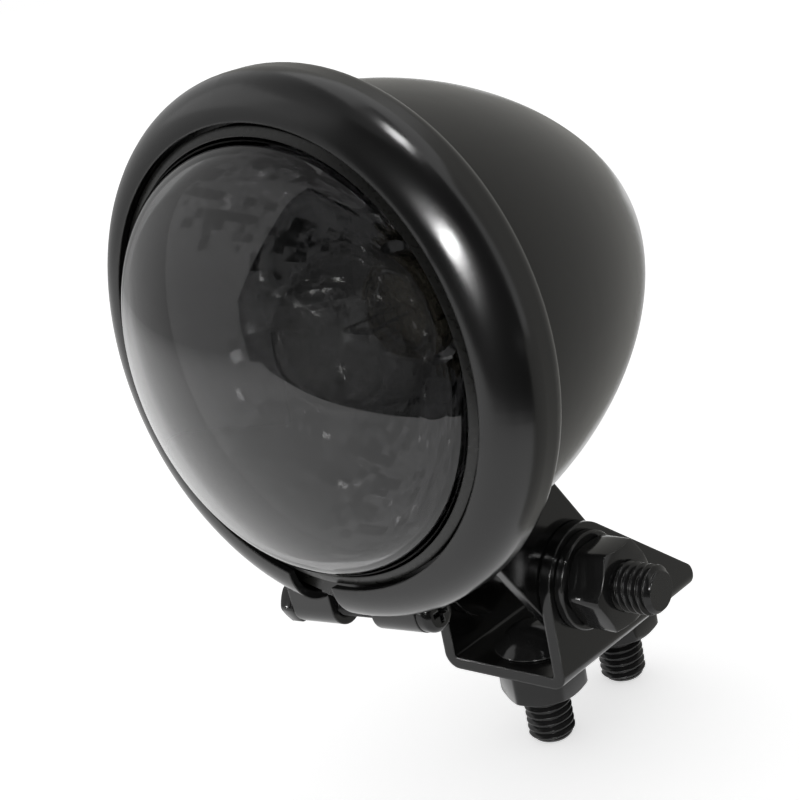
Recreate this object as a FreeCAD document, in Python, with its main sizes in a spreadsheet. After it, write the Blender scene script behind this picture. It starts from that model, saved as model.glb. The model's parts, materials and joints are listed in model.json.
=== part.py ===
"""Bullet tail light for a motorcycle: a spun shell with a domed lens under a
split bezel, carried by a folded neck that tilts in a channel bracket on two studs.

Frame: +X right, +Y towards the back of the lamp, +Z up. The origin lies midway
between the two studs, in the plane of the undersides of the stud nuts.
Millimetres throughout.
"""
import FreeCAD
import Part
import Sketcher
import math
import os

doc = FreeCAD.newDocument("tail_light")
sheet = doc.addObject("Spreadsheet::Sheet", "Sizes")

# Driving sizes
SIZES = [
    ("stud_spacing", 22.0),
    ("stud_drop", 15.2),
    ("stud_head_radius", 7.0),
    ("stud_head_height", 4.0),
    ("stud_square", 8.0),
    ("square_play", 0.1),
    ("bolt_radius", 4.0),
    ("bolt_pitch_radius", 3.6),
    ("bolt_point", 0.8),
    ("thread_play", 0.05),
    ("nut_flats", 13.0),
    ("nut_height", 6.5),
    ("bolt_head_height", 5.3),
    ("bolt_reach", 6.4),
    ("hex_chamfer", 0.6),
    ("washer_radius", 8.0),
    ("washer_thickness", 1.6),
    ("bolt_hole_play", 0.1),
    ("pivot_height", 15.5),
    ("bracket_width", 24.6),
    ("bracket_sheet", 2.0),
    ("bracket_bend", 2.6),
    ("arch_radius", 9.2),
    ("bracket_back", 30.0),
    ("wall_slope", 37.5),
    ("wall_corner", 3.0),
    ("neck_play", 0.2),
    ("neck_sheet", 2.0),
    ("neck_radius", 8.9),
    ("neck_lean", 55.8),
    ("neck_run", 32.0),
    ("lamp_clear", 9.8),
    ("lamp_reach", 35.4),
    ("bezel_radius", 40.0),
    ("bead_radius", 6.0),
    ("bezel_sheet", 1.2),
    ("skirt_length", 2.2),
    ("rear_corner", 3.0),
    ("rear_turn", 80.0),
    ("lip_turn", 2.0),
    ("split_gap", 8.3),
    ("bezel_turn", 5.0),
    ("split_place", 7.5),
    ("ear_radius", 3.1),
    ("ear_drop", 1.0),
    ("ear_back", 3.0),
    ("long_ear", 8.8),
    ("short_ear", 8.8),
    ("clamp_radius", 1.75),
    ("clamp_play", 0.15),
    ("clamp_head_radius", 3.0),
    ("clamp_head_height", 2.4),
    ("clamp_recess", 1.5),
    ("clamp_recess_width", 0.9),
    ("clamp_recess_span", 3.6),
    ("clamp_nut_flats", 6.0),
    ("clamp_nut_height", 2.8),
    ("clamp_end", 1.4),
    ("stack_front", 2.2),
    ("flange_inset", 2.0),
    ("flange_step", 0.5),
    ("lens_flange", 2.0),
    ("dome_inset", 8.0),
    ("dome_start", 0.8),
    ("dome_height", 15.2),
    ("dome_shoulder", 9.0),
    ("lens_wall", 2.0),
    ("gasket_thickness", 1.0),
    ("gasket_width", 4.8),
    ("seal_gap", 0.5),
    ("seal_drop", 0.3),
    ("seal_clear", 0.3),
    ("seal_straight", 1.2),
    ("seal_lean", 0.5),
    ("seal_sheet", 0.8),
    ("seal_width", 4.5),
    ("shell_sheet", 1.2),
    ("shell_inset", 4.4),
    ("shell_straight", 2.4),
    ("shell_arc", 86.0),
    ("nose_radius", 20.0),
    ("rivet_radius", 1.6),
    ("rivet_head_radius", 2.6),
    ("rivet_head_height", 1.4),
    ("rivet_play", 0.05),
    ("rivet_front", 18.3),
    ("rivet_back", 32.0),
    ("grommet_place", 25.2),
    ("grommet_radius", 2.9),
    ("grommet_flange", 3.9),
    ("grommet_lip", 1.2),
    ("grommet_bore", 1.5),
    ("grommet_play", 0.05),
    ("seat_gap", 0.3),
    ("mirror_sheet", 0.6),
    ("mirror_facets", 18),
    ("mirror_inset", 9.0),
    ("mirror_depth", 24.0),
    ("mirror_throat", 10.4),
    ("mirror_wall", 1.0),
    ("barrel_radius", 8.5),
    ("barrel_sheet", 0.8),
    ("barrel_play", 0.05),
    ("barrel_front", 4.5),
    ("barrel_back", 21.0),
    ("barrel_flange", 10.6),
    ("barrel_flange_sheet", 1.0),
    ("barrel_hole", 5.0),
    ("slot_width", 2.6),
    ("slot_depth", 10.5),
    ("cap_play", 0.1),
    ("insulator_thickness", 2.2),
    ("insulator_place", 12.8),
    ("pin_radius", 1.3),
    ("pin_spread", 3.6),
    ("pin_head", 1.9),
    ("pin_head_height", 0.9),
    ("pin_tail", 3.0),
    ("pin_play", 0.05),
    ("spring_wire", 0.5),
    ("spring_radius", 6.2),
    ("spring_turns", 3.0),
    ("spring_play", 0.05),
    ("globe_radius", 12.5),
    ("globe_ahead", 16.0),
    ("globe_neck", 6.6),
    ("bulb_pin_radius", 1.0),
    ("bulb_pin_reach", 1.1),
    ("bulb_contact_height", 0.8),
]


class Size:
    """A number and the expression that gives it from the sheet."""

    def __init__(self, value, text):
        self.value = float(value)
        self.text = text

    def __add__(self, other):
        other = as_size(other)
        return Size(self.value + other.value, "(%s + %s)" % (self.text, other.text))

    def __sub__(self, other):
        other = as_size(other)
        return Size(self.value - other.value, "(%s - %s)" % (self.text, other.text))

    def __mul__(self, other):
        other = as_size(other)
        return Size(self.value * other.value, "(%s * %s)" % (self.text, other.text))

    def __truediv__(self, other):
        other = as_size(other)
        return Size(self.value / other.value, "(%s / %s)" % (self.text, other.text))

    def __neg__(self):
        return Size(-self.value, "(0 - %s)" % self.text)


def as_size(number):
    if isinstance(number, Size):
        return number
    return Size(number, repr(number))


def root(number):
    return Size(math.sqrt(number.value), "sqrt(%s)" % number.text)


def sine(angle):
    return Size(math.sin(math.radians(angle.value)), "sin(%s)" % angle.text)


def cosine(angle):
    return Size(math.cos(math.radians(angle.value)), "cos(%s)" % angle.text)


def arc_sine(ratio):
    return Size(math.degrees(math.asin(ratio.value)), "asin(%s)" % ratio.text)


for row, (alias, number) in enumerate(SIZES, start=1):
    sheet.set("A%d" % row, alias)
    sheet.set("B%d" % row, str(number))
    sheet.setAlias("B%d" % row, alias)
doc.recompute()
s = {alias: Size(number, "Sizes.%s" % alias) for alias, number in SIZES}
ZERO = Size(0.0, "0")
NODES = []


def bind(thing, prop, number):
    thing.setExpression(prop, number.text)


def keep(thing, label):
    thing.Label = label
    NODES.append(thing)
    return thing


def place(thing, x=None, y=None, z=None):
    for axis, number in (("x", x), ("y", y), ("z", z)):
        if number is not None:
            bind(thing, "Placement.Base.%s" % axis, number)
    return thing


def turn(thing, axis, angle):
    """Turns a thing about one axis through its own origin; angle may be a Size."""
    fixed = as_size(angle)
    spin = FreeCAD.Rotation(FreeCAD.Vector(*axis), fixed.value)
    thing.Placement = FreeCAD.Placement(thing.Placement.Base, spin)
    if isinstance(angle, Size):
        bind(thing, "Placement.Rotation.Angle", angle)
    return thing


# Sketch helpers: every corner is held by its two coordinates, every arc by its radius
def new_sketch(body, name, role):
    plane = [part for part in body.Origin.OriginFeatures if part.Role == role][0]
    sketch = body.newObject("Sketcher::SketchObject", name)
    sketch.AttachmentSupport = [(plane, "")]
    sketch.MapMode = "FlatFace"
    return sketch


def hold(sketch, kind, item, number):
    index = sketch.addConstraint(Sketcher.Constraint(kind, *item, number.value))
    label = "size%d" % index
    sketch.renameConstraint(index, label)
    bind(sketch, "Constraints.%s" % label, number)


def hold_point(sketch, geo, end, point):
    for kind, line, number in (("DistanceX", -2, point[0]), ("DistanceY", -1, point[1])):
        if number is ZERO:
            sketch.addConstraint(Sketcher.Constraint("PointOnObject", geo, end, line))
        else:
            hold(sketch, kind, (-1, 1, geo, end), number)


def arc_centre(start, finish, radius, clockwise):
    chord = finish - start
    half = chord.Length / 2
    rise = math.sqrt(max(radius * radius - half * half, 0.0))
    side = FreeCAD.Vector(-chord.y, chord.x, 0) / chord.Length
    if clockwise:
        side = side * -1
    return (start + finish) / 2 + side * rise


def outline(sketch, corners):
    """Closed outline. A corner is (x, y), or (x, y, radius, way) if an arc leads to it."""
    points = [FreeCAD.Vector(corner[0].value, corner[1].value, 0) for corner in corners]
    ends = []
    for number, corner in enumerate(corners):
        start = points[number - 1]
        finish = points[number]
        if len(corner) == 2:
            geo = sketch.addGeometry(Part.LineSegment(start, finish))
            ends.append((geo, 1, 2))
            continue
        radius, way = corner[2], corner[3]
        centre = arc_centre(start, finish, radius.value, way == "clockwise")
        first, last = (finish, start) if way == "clockwise" else (start, finish)
        low = math.atan2(first.y - centre.y, first.x - centre.x)
        high = math.atan2(last.y - centre.y, last.x - centre.x)
        if high <= low:
            high += 2 * math.pi
        ring = Part.Circle(centre, FreeCAD.Vector(0, 0, 1), radius.value)
        geo = sketch.addGeometry(Part.ArcOfCircle(ring, low, high))
        ends.append((geo, 2, 1) if way == "clockwise" else (geo, 1, 2))
    for number, corner in enumerate(corners):
        geo, first, last = ends[number]
        following = ends[(number + 1) % len(ends)]
        sketch.addConstraint(Sketcher.Constraint("Coincident", geo, last, following[0], following[1]))
        hold_point(sketch, geo, last, corner)
    for number, corner in enumerate(corners):
        if len(corner) == 4:
            hold(sketch, "Radius", (ends[number][0],), corner[2])
    return sketch


def circle(sketch, x, y, radius):
    centre = FreeCAD.Vector(x.value, y.value, 0)
    geo = sketch.addGeometry(Part.Circle(centre, FreeCAD.Vector(0, 0, 1), radius.value))
    hold_point(sketch, geo, 3, (x, y))
    hold(sketch, "Radius", (geo,), radius)
    return sketch


def hexagon(sketch, flats):
    """Hexagon about the sketch's origin with two flats across its x axis."""
    apothem = flats / 2
    side = apothem / root(Size(3.0, "3"))
    corners = [(apothem, side), (ZERO, side * 2), (-apothem, side)]
    corners += [(-apothem, -side), (ZERO, -(side * 2)), (apothem, -side)]
    return outline(sketch, corners)


def new_body(name):
    return doc.addObject("PartDesign::Body", name)


def spin_solid(name, corners):
    """Body turned about its own Y axis from an outline of (y, radius) corners."""
    body = new_body(name)
    sketch = outline(new_sketch(body, name + "_profile", "YZ_Plane"), corners)
    revolve = body.newObject("PartDesign::Revolution", name + "_turned")
    revolve.Profile = sketch
    revolve.ReferenceAxis = (sketch, ["H_Axis"])
    revolve.Angle = 360
    sketch.Visibility = False
    return body


def pad(body, sketch, name, length, both_ways=False, reverse=False):
    feature = body.newObject("PartDesign::Pad", name)
    feature.Profile = sketch
    bind(feature, "Length", length)
    if both_ways:
        feature.SideType = "Symmetric"
    feature.Reversed = reverse
    return feature


def pocket(body, sketch, name, length=None, both_ways=False, reverse=False):
    feature = body.newObject("PartDesign::Pocket", name)
    feature.Profile = sketch
    if length is None:
        feature.Type = "ThroughAll"
    else:
        bind(feature, "Length", length)
    if both_ways:
        feature.SideType = "Symmetric"
    feature.Reversed = reverse
    return feature


def groove(body, name, corners):
    """Ring cut about the body's Z axis from an outline of (radius, z) corners."""
    sketch = outline(new_sketch(body, name + "_profile", "XZ_Plane"), corners)
    feature = body.newObject("PartDesign::Groove", name)
    feature.Profile = sketch
    feature.ReferenceAxis = (sketch, ["V_Axis"])
    feature.Angle = 360
    return feature


def cylinder(name, radius, height):
    thing = doc.addObject("Part::Cylinder", name)
    bind(thing, "Radius", radius)
    bind(thing, "Height", height)
    return thing


def box(name, length, width, height):
    thing = doc.addObject("Part::Box", name)
    bind(thing, "Length", length)
    bind(thing, "Width", width)
    bind(thing, "Height", height)
    return thing


def cut(name, base, tool):
    thing = doc.addObject("Part::Cut", name)
    thing.Base = base
    thing.Tool = tool
    return thing


def fuse(name, things):
    thing = doc.addObject("Part::MultiFuse", name)
    thing.Shapes = things
    return thing


# Places shared by several pieces
pivot_y = -(s["stud_spacing"] / 2)
base_under = s["nut_height"]
base_top = base_under + s["bracket_sheet"]
pivot_z = base_under + s["pivot_height"]
lamp_rise = s["bezel_radius"] + s["lamp_clear"]
flange_r = s["bezel_radius"] - s["flange_inset"]
shell_r = s["bezel_radius"] - s["shell_inset"]
mirror_mouth = s["bezel_radius"] - s["mirror_inset"]
lamp_y = pivot_y - s["lamp_reach"]
lamp_z = pivot_z + lamp_rise
wall_out = s["bracket_width"] / 2
wall_in = wall_out - s["bracket_sheet"]
leg_out = wall_in - s["neck_play"]
leg_in = leg_out - s["neck_sheet"]
bolt_hole = s["bolt_radius"] + s["bolt_hole_play"]
lens_front = -s["stack_front"]
gasket_front = lens_front + s["lens_flange"]
mirror_front = gasket_front + s["gasket_thickness"]
shell_front = mirror_front + s["mirror_sheet"]
shell_bend = shell_front + s["shell_sheet"] + s["shell_straight"]
AXIS_BACK = ((1, 0, 0), -90)
AXIS_RIGHT = ((0, 1, 0), 90)


def on_lamp(thing):
    return place(thing, y=lamp_y, z=lamp_z)


# Housing shell: spun sheet, an ogive of one long arc closed by a round nose
def shell_corners(offset):
    """Nose, long arc and rim of the shell's outside, moved outwards by an offset."""
    span = s["shell_arc"] - s["nose_radius"]
    sink = s["shell_arc"] - shell_r
    reach = root(span * span - sink * sink)
    nose = s["nose_radius"] + offset
    ratio = nose / span
    meet = (shell_bend + reach * (ratio + 1), sink * ratio)
    return {
        "tip": (shell_bend + reach + nose, ZERO),
        "meet": meet,
        "rim": shell_r + offset,
        "nose": nose,
        "arc": s["shell_arc"] + offset,
    }


def shell_form(name, offset):
    """Solid with the shell's outside shape, moved outwards by an offset."""
    form = shell_corners(offset)
    corners = [
        (shell_front, ZERO),
        (shell_front, form["rim"]),
        (shell_bend, form["rim"]),
        form["meet"] + (form["arc"], "clockwise"),
        form["tip"] + (form["nose"], "clockwise"),
    ]
    return spin_solid(name, corners)


outside = shell_corners(ZERO)
inside = shell_corners(-s["shell_sheet"])
shell_flange = flange_r + s["flange_step"]
shell_body = spin_solid("shell_spun", [
    (shell_front, inside["rim"]),
    (shell_front, shell_flange),
    (shell_front + s["shell_sheet"], shell_flange),
    (shell_front + s["shell_sheet"], outside["rim"]),
    (shell_bend, outside["rim"]),
    outside["meet"] + (outside["arc"], "clockwise"),
    outside["tip"] + (outside["nose"], "clockwise"),
    inside["tip"],
    inside["meet"] + (inside["nose"], "counter"),
    (shell_bend, inside["rim"], inside["arc"], "counter"),
])


def under_shell(thing, back):
    """Hangs a thing made along -Z on the shell's underside, square to the sheet."""
    lean = arc_sine((back - shell_bend) / s["shell_arc"])
    drop = s["shell_arc"] * cosine(lean) - s["shell_arc"] + shell_r
    turn(thing, (1, 0, 0), lean)
    return place(thing, y=back, z=-drop)


rivet_hole = s["rivet_radius"] + s["rivet_play"]
grommet_hole = s["grommet_radius"] + s["grommet_play"]


def underside_holes(name):
    """Tools for the rivet holes and the lead's hole, through shell and saddle."""
    tools = []
    for label, radius, back in (
        ("rivet_front", rivet_hole, s["rivet_front"]),
        ("rivet_back", rivet_hole, s["rivet_back"]),
        ("grommet", grommet_hole, s["grommet_place"]),
    ):
        half = s["neck_radius"]
        tool = cylinder("%s_%s_hole" % (name, label), radius, half * 2)
        lean = arc_sine((back - shell_bend) / s["shell_arc"])
        drop = s["shell_arc"] * cosine(lean) - s["shell_arc"] + shell_r
        turn(tool, (1, 0, 0), lean)
        place(tool, y=back + half * sine(lean), z=-(drop + half * cosine(lean)))
        tools.append(tool)
    return fuse(name + "_holes", tools)


shell = cut("housing_shell", shell_body, underside_holes("shell"))
keep(on_lamp(shell), "housing_shell")

# Lens: dome of a crown arc and a shoulder arc, on a flat flange
dome_y = lens_front - s["dome_start"]
dome_r = s["bezel_radius"] - s["dome_inset"]
dome_h = s["dome_height"]
shoulder = s["dome_shoulder"]
crown = (dome_r * dome_r + dome_h * dome_h - dome_r * shoulder * 2) / ((dome_h - shoulder) * 2)
dome_back = (crown - dome_h) / (crown - shoulder)
dome_side = (dome_r - shoulder) / (crown - shoulder)
inner_shoulder = shoulder - s["lens_wall"]
dome_inner = dome_r - s["lens_wall"]
lens = spin_solid("lens", [
    (gasket_front, dome_inner),
    (gasket_front, flange_r),
    (lens_front, flange_r),
    (lens_front, dome_r),
    (dome_y, dome_r),
    (dome_y - shoulder * dome_back, dome_r - shoulder + shoulder * dome_side, shoulder, "counter"),
    (dome_y - dome_h, ZERO, crown, "counter"),
    (dome_y - dome_h + s["lens_wall"], ZERO),
    (dome_y - inner_shoulder * dome_back, dome_r - shoulder + inner_shoulder * dome_side,
     crown - s["lens_wall"], "clockwise"),
    (dome_y, dome_inner, inner_shoulder, "clockwise"),
])
keep(on_lamp(lens), "lens")

# Gasket between the lens flange and the reflector rim
gasket_out = flange_r
gasket = spin_solid("lens_gasket", [
    (gasket_front, gasket_out - s["gasket_width"]),
    (gasket_front, gasket_out),
    (mirror_front, gasket_out),
    (mirror_front, gasket_out - s["gasket_width"]),
])
keep(on_lamp(gasket), "lens_gasket")

# Faceted reflector: rings of flat facets on a parabola, with a rim and a throat plate
mirror_steps = 5


def mirror_radius(share):
    wide = mirror_mouth * mirror_mouth
    narrow = s["mirror_throat"] * s["mirror_throat"]
    return root(wide - (wide - narrow) * share)


def facet_ring(name, radius, back):
    ring = doc.addObject("Part::RegularPolygon", name)
    bind(ring, "Polygon", s["mirror_facets"])
    bind(ring, "Circumradius", radius)
    turn(ring, *AXIS_BACK)
    return place(ring, y=back)


def facet_bowl(name, wall, ahead, behind):
    rings = []
    if ahead is not None:
        rings.append(facet_ring(name + "_mouth", mirror_radius(0.0) + wall, mirror_front - ahead))
    for step in range(mirror_steps + 1):
        share = step / mirror_steps
        back = mirror_front + s["mirror_depth"] * share
        rings.append(facet_ring("%s_ring%d" % (name, step), mirror_radius(share) + wall, back))
    if behind is not None:
        end = mirror_front + s["mirror_depth"] + behind
        rings.append(facet_ring(name + "_end", mirror_radius(1.0) + wall, end))
    bowl = doc.addObject("Part::Loft", name)
    bowl.Sections = rings
    bowl.Solid = True
    bowl.Ruled = True
    return bowl


mirror_back = mirror_front + s["mirror_depth"]
bowl_outer = facet_bowl("mirror_outer", s["mirror_wall"], None, s["mirror_wall"])
bowl_inner = facet_bowl("mirror_inner", ZERO, s["mirror_wall"], None)
mirror_rim = cylinder("mirror_rim", flange_r, s["mirror_sheet"])
turn(mirror_rim, *AXIS_BACK)
place(mirror_rim, y=mirror_front)
throat = cylinder("mirror_throat_hole", s["barrel_radius"] + s["barrel_play"], s["mirror_depth"] * 2)
turn(throat, *AXIS_BACK)
place(throat, y=mirror_front)
mirror_tools = fuse("mirror_tools", [bowl_inner, throat])
reflector = cut("reflector", fuse("mirror_blank", [bowl_outer, mirror_rim]), mirror_tools)
keep(on_lamp(reflector), "reflector")

# Bulb socket: barrel with a flange behind the reflector's throat plate
barrel_seat = mirror_back + s["mirror_wall"]
barrel_in = s["barrel_radius"] - s["barrel_sheet"]
barrel_start = mirror_back - s["barrel_front"]
barrel_end = barrel_seat + s["barrel_back"]
barrel_body = spin_solid("barrel_turned", [
    (barrel_start, barrel_in),
    (barrel_start, s["barrel_radius"]),
    (barrel_seat, s["barrel_radius"]),
    (barrel_seat, s["barrel_flange"]),
    (barrel_seat + s["barrel_flange_sheet"], s["barrel_flange"]),
    (barrel_seat + s["barrel_flange_sheet"], s["barrel_radius"]),
    (barrel_end, s["barrel_radius"]),
    (barrel_end, s["barrel_hole"]),
    (barrel_end - s["barrel_sheet"], s["barrel_hole"]),
    (barrel_end - s["barrel_sheet"], barrel_in),
])
slot = box("barrel_slot", s["barrel_flange"] * 2, s["slot_depth"], s["slot_width"])
place(slot, x=-s["barrel_flange"], y=barrel_start, z=-(s["slot_width"] / 2))
slot_keep = spin_solid("barrel_slot_keep", [
    (barrel_start, ZERO),
    (barrel_start, s["barrel_radius"] + s["barrel_play"]),
    (barrel_end, s["barrel_radius"] + s["barrel_play"]),
    (barrel_end, ZERO),
])
slot_cut = doc.addObject("Part::Common", "barrel_slot_cut")
slot_cut.Base = slot
slot_cut.Tool = slot_keep
barrel = cut("socket_barrel", barrel_body, slot_cut)
keep(on_lamp(barrel), "socket_barrel")

# Insulating disc that carries the two contact pins
disc_front = barrel_seat + s["insulator_place"]
disc_back = disc_front + s["insulator_thickness"]
disc = new_body("insulator_disc")
disc_sketch = new_sketch(disc, "insulator_outline", "XZ_Plane")
circle(disc_sketch, ZERO, ZERO, barrel_in - s["barrel_play"])
circle(disc_sketch, s["pin_spread"], ZERO, s["pin_radius"] + s["pin_play"])
circle(disc_sketch, -s["pin_spread"], ZERO, s["pin_radius"] + s["pin_play"])
pad(disc, disc_sketch, "insulator_pad", s["insulator_thickness"], reverse=True)
place(disc, y=lamp_y + disc_front, z=lamp_z)
keep(disc, "socket_insulator")

# Contact pins: headed rods through the disc, heads towards the bulb
pins = []
for side, spread in (("left", -s["pin_spread"]), ("right", s["pin_spread"])):
    pin = spin_solid("contact_pin_" + side, [
        (-s["pin_head_height"], ZERO),
        (-s["pin_head_height"], s["pin_head"]),
        (ZERO, s["pin_head"]),
        (ZERO, s["pin_radius"]),
        (s["insulator_thickness"] + s["pin_tail"], s["pin_radius"]),
        (s["insulator_thickness"] + s["pin_tail"], ZERO),
    ])
    place(pin, x=spread)
    pins.append(pin)
pin_group = doc.addObject("Part::Compound", "contact_pins")
pin_group.Links = pins
place(pin_group, y=lamp_y + disc_front, z=lamp_z)
keep(pin_group, "contact_pins")

# Spring that presses the disc forwards, between the disc and the barrel's end wall
spring_room = s["barrel_back"] - s["insulator_place"] - s["insulator_thickness"] - s["barrel_sheet"]
spring_rise = spring_room - s["spring_wire"] * 2 - s["spring_play"] * 2
spring = new_body("socket_spring")
spring_sketch = new_sketch(spring, "spring_wire_section", "XZ_Plane")
outline(spring_sketch, [
    (s["spring_radius"] - s["spring_wire"], -s["spring_wire"]),
    (s["spring_radius"] + s["spring_wire"], -s["spring_wire"]),
    (s["spring_radius"] + s["spring_wire"], s["spring_wire"]),
    (s["spring_radius"] - s["spring_wire"], s["spring_wire"]),
])
coil = spring.newObject("PartDesign::AdditiveHelix", "spring_coil")
coil.Profile = spring_sketch
coil.ReferenceAxis = (spring_sketch, ["V_Axis"])
coil.Mode = "height-turns-angle"
bind(coil, "Height", spring_rise)
bind(coil, "Turns", s["spring_turns"])
turn(spring, *AXIS_BACK)
place(spring, y=lamp_y + disc_back + s["spring_wire"] + s["spring_play"], z=lamp_z)
keep(spring, "contact_spring")

# Bulb: sealed globe, bayonet cap with two side pins and two end contacts
cap_radius = barrel_in - s["cap_play"]
cap_end = disc_front - s["pin_head_height"] - s["bulb_contact_height"]
globe_y = mirror_back - s["globe_ahead"]
neck_back = root(s["globe_radius"] * s["globe_radius"] - s["globe_neck"] * s["globe_neck"])
bulb_turned = spin_solid("bulb_turned", [
    (globe_y - s["globe_radius"], ZERO),
    (globe_y, s["globe_radius"], s["globe_radius"], "clockwise"),
    (globe_y + neck_back, s["globe_neck"], s["globe_radius"], "clockwise"),
    (barrel_start - s["cap_play"], s["globe_neck"]),
    (barrel_start - s["cap_play"], cap_radius),
    (cap_end, cap_radius),
    (cap_end, ZERO),
])
bulb_pins = cylinder("bulb_pins", s["bulb_pin_radius"], (cap_radius + s["bulb_pin_reach"]) * 2)
turn(bulb_pins, *AXIS_RIGHT)
place(bulb_pins, x=-(cap_radius + s["bulb_pin_reach"]))
place(bulb_pins, y=barrel_start + s["slot_depth"] - s["bulb_pin_radius"] - s["cap_play"])
bulb_things = [bulb_turned, bulb_pins]
for side, spread in (("left", -s["pin_spread"]), ("right", s["pin_spread"])):
    contact = cylinder("bulb_contact_" + side, s["pin_head"], s["bulb_contact_height"] * 2)
    turn(contact, *AXIS_BACK)
    place(contact, x=spread, y=cap_end - s["bulb_contact_height"])
    bulb_things.append(contact)
keep(on_lamp(fuse("bulb", bulb_things)), "bulb")

# Bezel: rolled sheet ring, split at the bottom between two bored clamp ears
bead_middle = s["bezel_radius"] - s["bead_radius"]
bead_inner = s["bead_radius"] - s["bezel_sheet"]
corner_middle = s["bezel_radius"] - s["rear_corner"]
corner_inner = s["rear_corner"] - s["bezel_sheet"]
lip_cos = cosine(s["lip_turn"])
lip_sin = sine(s["lip_turn"])
rear_cos = cosine(s["rear_turn"])
rear_sin = sine(s["rear_turn"])
bezel_in = s["bezel_radius"] - s["bezel_sheet"]
lip_edge = bead_middle - s["bead_radius"] * lip_sin
ring = spin_solid("bezel_rolled", [
    (-(s["bead_radius"] * lip_cos), lip_edge),
    (ZERO, s["bezel_radius"], s["bead_radius"], "clockwise"),
    (s["skirt_length"], s["bezel_radius"]),
    (s["skirt_length"] + s["rear_corner"] * rear_sin, corner_middle + s["rear_corner"] * rear_cos,
     s["rear_corner"], "clockwise"),
    (s["skirt_length"] + corner_inner * rear_sin, corner_middle + corner_inner * rear_cos),
    (s["skirt_length"], bezel_in, corner_inner, "counter"),
    (ZERO, bezel_in),
    (-(bead_inner * lip_cos), bead_middle - bead_inner * lip_sin, bead_inner, "counter"),
])
clamp_y = s["ear_back"]
clamp_z = -(s["bezel_radius"] + s["ear_drop"])
half_gap = s["split_gap"] / 2
long_end = half_gap + s["long_ear"] - s["split_place"]
short_end = half_gap + s["short_ear"] + s["split_place"]


def along_clamp(name, radius, start, finish):
    rod = cylinder(name, radius, finish - start)
    turn(rod, *AXIS_RIGHT)
    return place(rod, x=start, y=clamp_y, z=clamp_z)


ear_round = along_clamp("ear_round", s["ear_radius"], -short_end, long_end)
ear_web = box("ear_web", long_end + short_end, s["ear_radius"] * 2, s["bezel_radius"] / 2)
place(ear_web, x=-short_end, y=clamp_y - s["ear_radius"], z=clamp_z)
ear_blank = fuse("ear_blank", [ear_round, ear_web])
ear_trim = cylinder("ear_trim", s["bezel_radius"] - s["bezel_sheet"] * 0.8, s["ear_radius"] * 4)
turn(ear_trim, *AXIS_BACK)
place(ear_trim, y=clamp_y - s["ear_radius"] * 2)
ears = cut("ears", ear_blank, ear_trim)
clamp_hole = along_clamp("ear_hole", s["clamp_radius"] + s["clamp_play"], -(short_end * 2), long_end * 2)
head_room_end = long_end + s["clamp_head_height"] + s["clamp_play"]
head_room = along_clamp("head_room", s["clamp_head_radius"] + s["clamp_play"], long_end, head_room_end)
split_tool = box("split_tool", s["split_gap"], s["bezel_radius"], s["bezel_radius"])
split_low = s["bezel_radius"] + s["ear_drop"] + s["ear_radius"] * 2
place(split_tool, x=-(half_gap + s["split_place"]), y=-(s["bezel_radius"] / 2), z=-split_low)
bezel_blank = fuse("bezel_blank", [ring, ears])
bezel_tools = fuse("bezel_tools", [clamp_hole, head_room, split_tool])
bezel = cut("bezel_ring", bezel_blank, bezel_tools)
turn(bezel, (0, -1, 0), s["bezel_turn"])
keep(on_lamp(bezel), "bezel_ring")

# Seal on the lens flange: its collar leans on the dome and fills the ring inside the bezel's edge
seal_in = dome_r + s["seal_clear"]
collar_out = lip_edge - s["seal_gap"]
collar_front = s["bead_radius"] - s["seal_drop"]
seal_front = lens_front - s["seal_sheet"]
seal = spin_solid("lens_seal", [
    (lens_front, seal_in),
    (lens_front - s["seal_straight"], seal_in),
    (-collar_front, seal_in - s["seal_lean"]),
    (-collar_front, collar_out),
    (seal_front, collar_out),
    (seal_front, seal_in + s["seal_width"]),
    (lens_front, seal_in + s["seal_width"]),
])
keep(on_lamp(seal), "lens_seal")


def on_clamp(thing, along):
    """Stands a thing made along +Z on the clamp axis, its own +Z towards the long ear."""
    swing = -s["bezel_turn"]
    turn(thing, (0, 1, 0), swing + 90)
    place(thing, x=along * cosine(swing) + clamp_z * sine(swing))
    return place(thing, y=lamp_y + clamp_y, z=lamp_z + clamp_z * cosine(swing) - along * sine(swing))


# Clamp screw: round head with a cross recess, and its nut on the short ear
clamp_length = long_end + short_end + s["clamp_nut_height"] + s["clamp_end"]
screw = new_body("clamp_screw")
screw_profile = outline(new_sketch(screw, "clamp_screw_profile", "XZ_Plane"), [
    (ZERO, -clamp_length),
    (s["clamp_radius"], -clamp_length),
    (s["clamp_radius"], ZERO),
    (s["clamp_head_radius"], ZERO),
    (s["clamp_head_radius"], s["clamp_head_height"] / 2),
    (s["clamp_head_radius"] - s["clamp_head_height"] / 2, s["clamp_head_height"],
     s["clamp_head_height"] / 2, "counter"),
    (ZERO, s["clamp_head_height"]),
])
screw_turn = screw.newObject("PartDesign::Revolution", "clamp_screw_turned")
screw_turn.Profile = screw_profile
screw_turn.ReferenceAxis = (screw_profile, ["V_Axis"])
screw_turn.Angle = 360
arm = s["clamp_recess_span"] / 2
half_slot = s["clamp_recess_width"] / 2
cross = outline(new_sketch(screw, "clamp_recess", "XY_Plane"), [
    (arm, -half_slot), (arm, half_slot), (half_slot, half_slot),
    (half_slot, arm), (-half_slot, arm), (-half_slot, half_slot),
    (-arm, half_slot), (-arm, -half_slot), (-half_slot, -half_slot),
    (-half_slot, -arm), (half_slot, -arm), (half_slot, -half_slot),
])
cross.AttachmentOffset = FreeCAD.Placement(FreeCAD.Vector(0, 0, 1), FreeCAD.Rotation())
bind(cross, "AttachmentOffset.Base.z", s["clamp_head_height"])
pocket(screw, cross, "clamp_recess_cut", s["clamp_recess"])
keep(on_clamp(screw, long_end), "bezel_clamp_screw")


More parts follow.
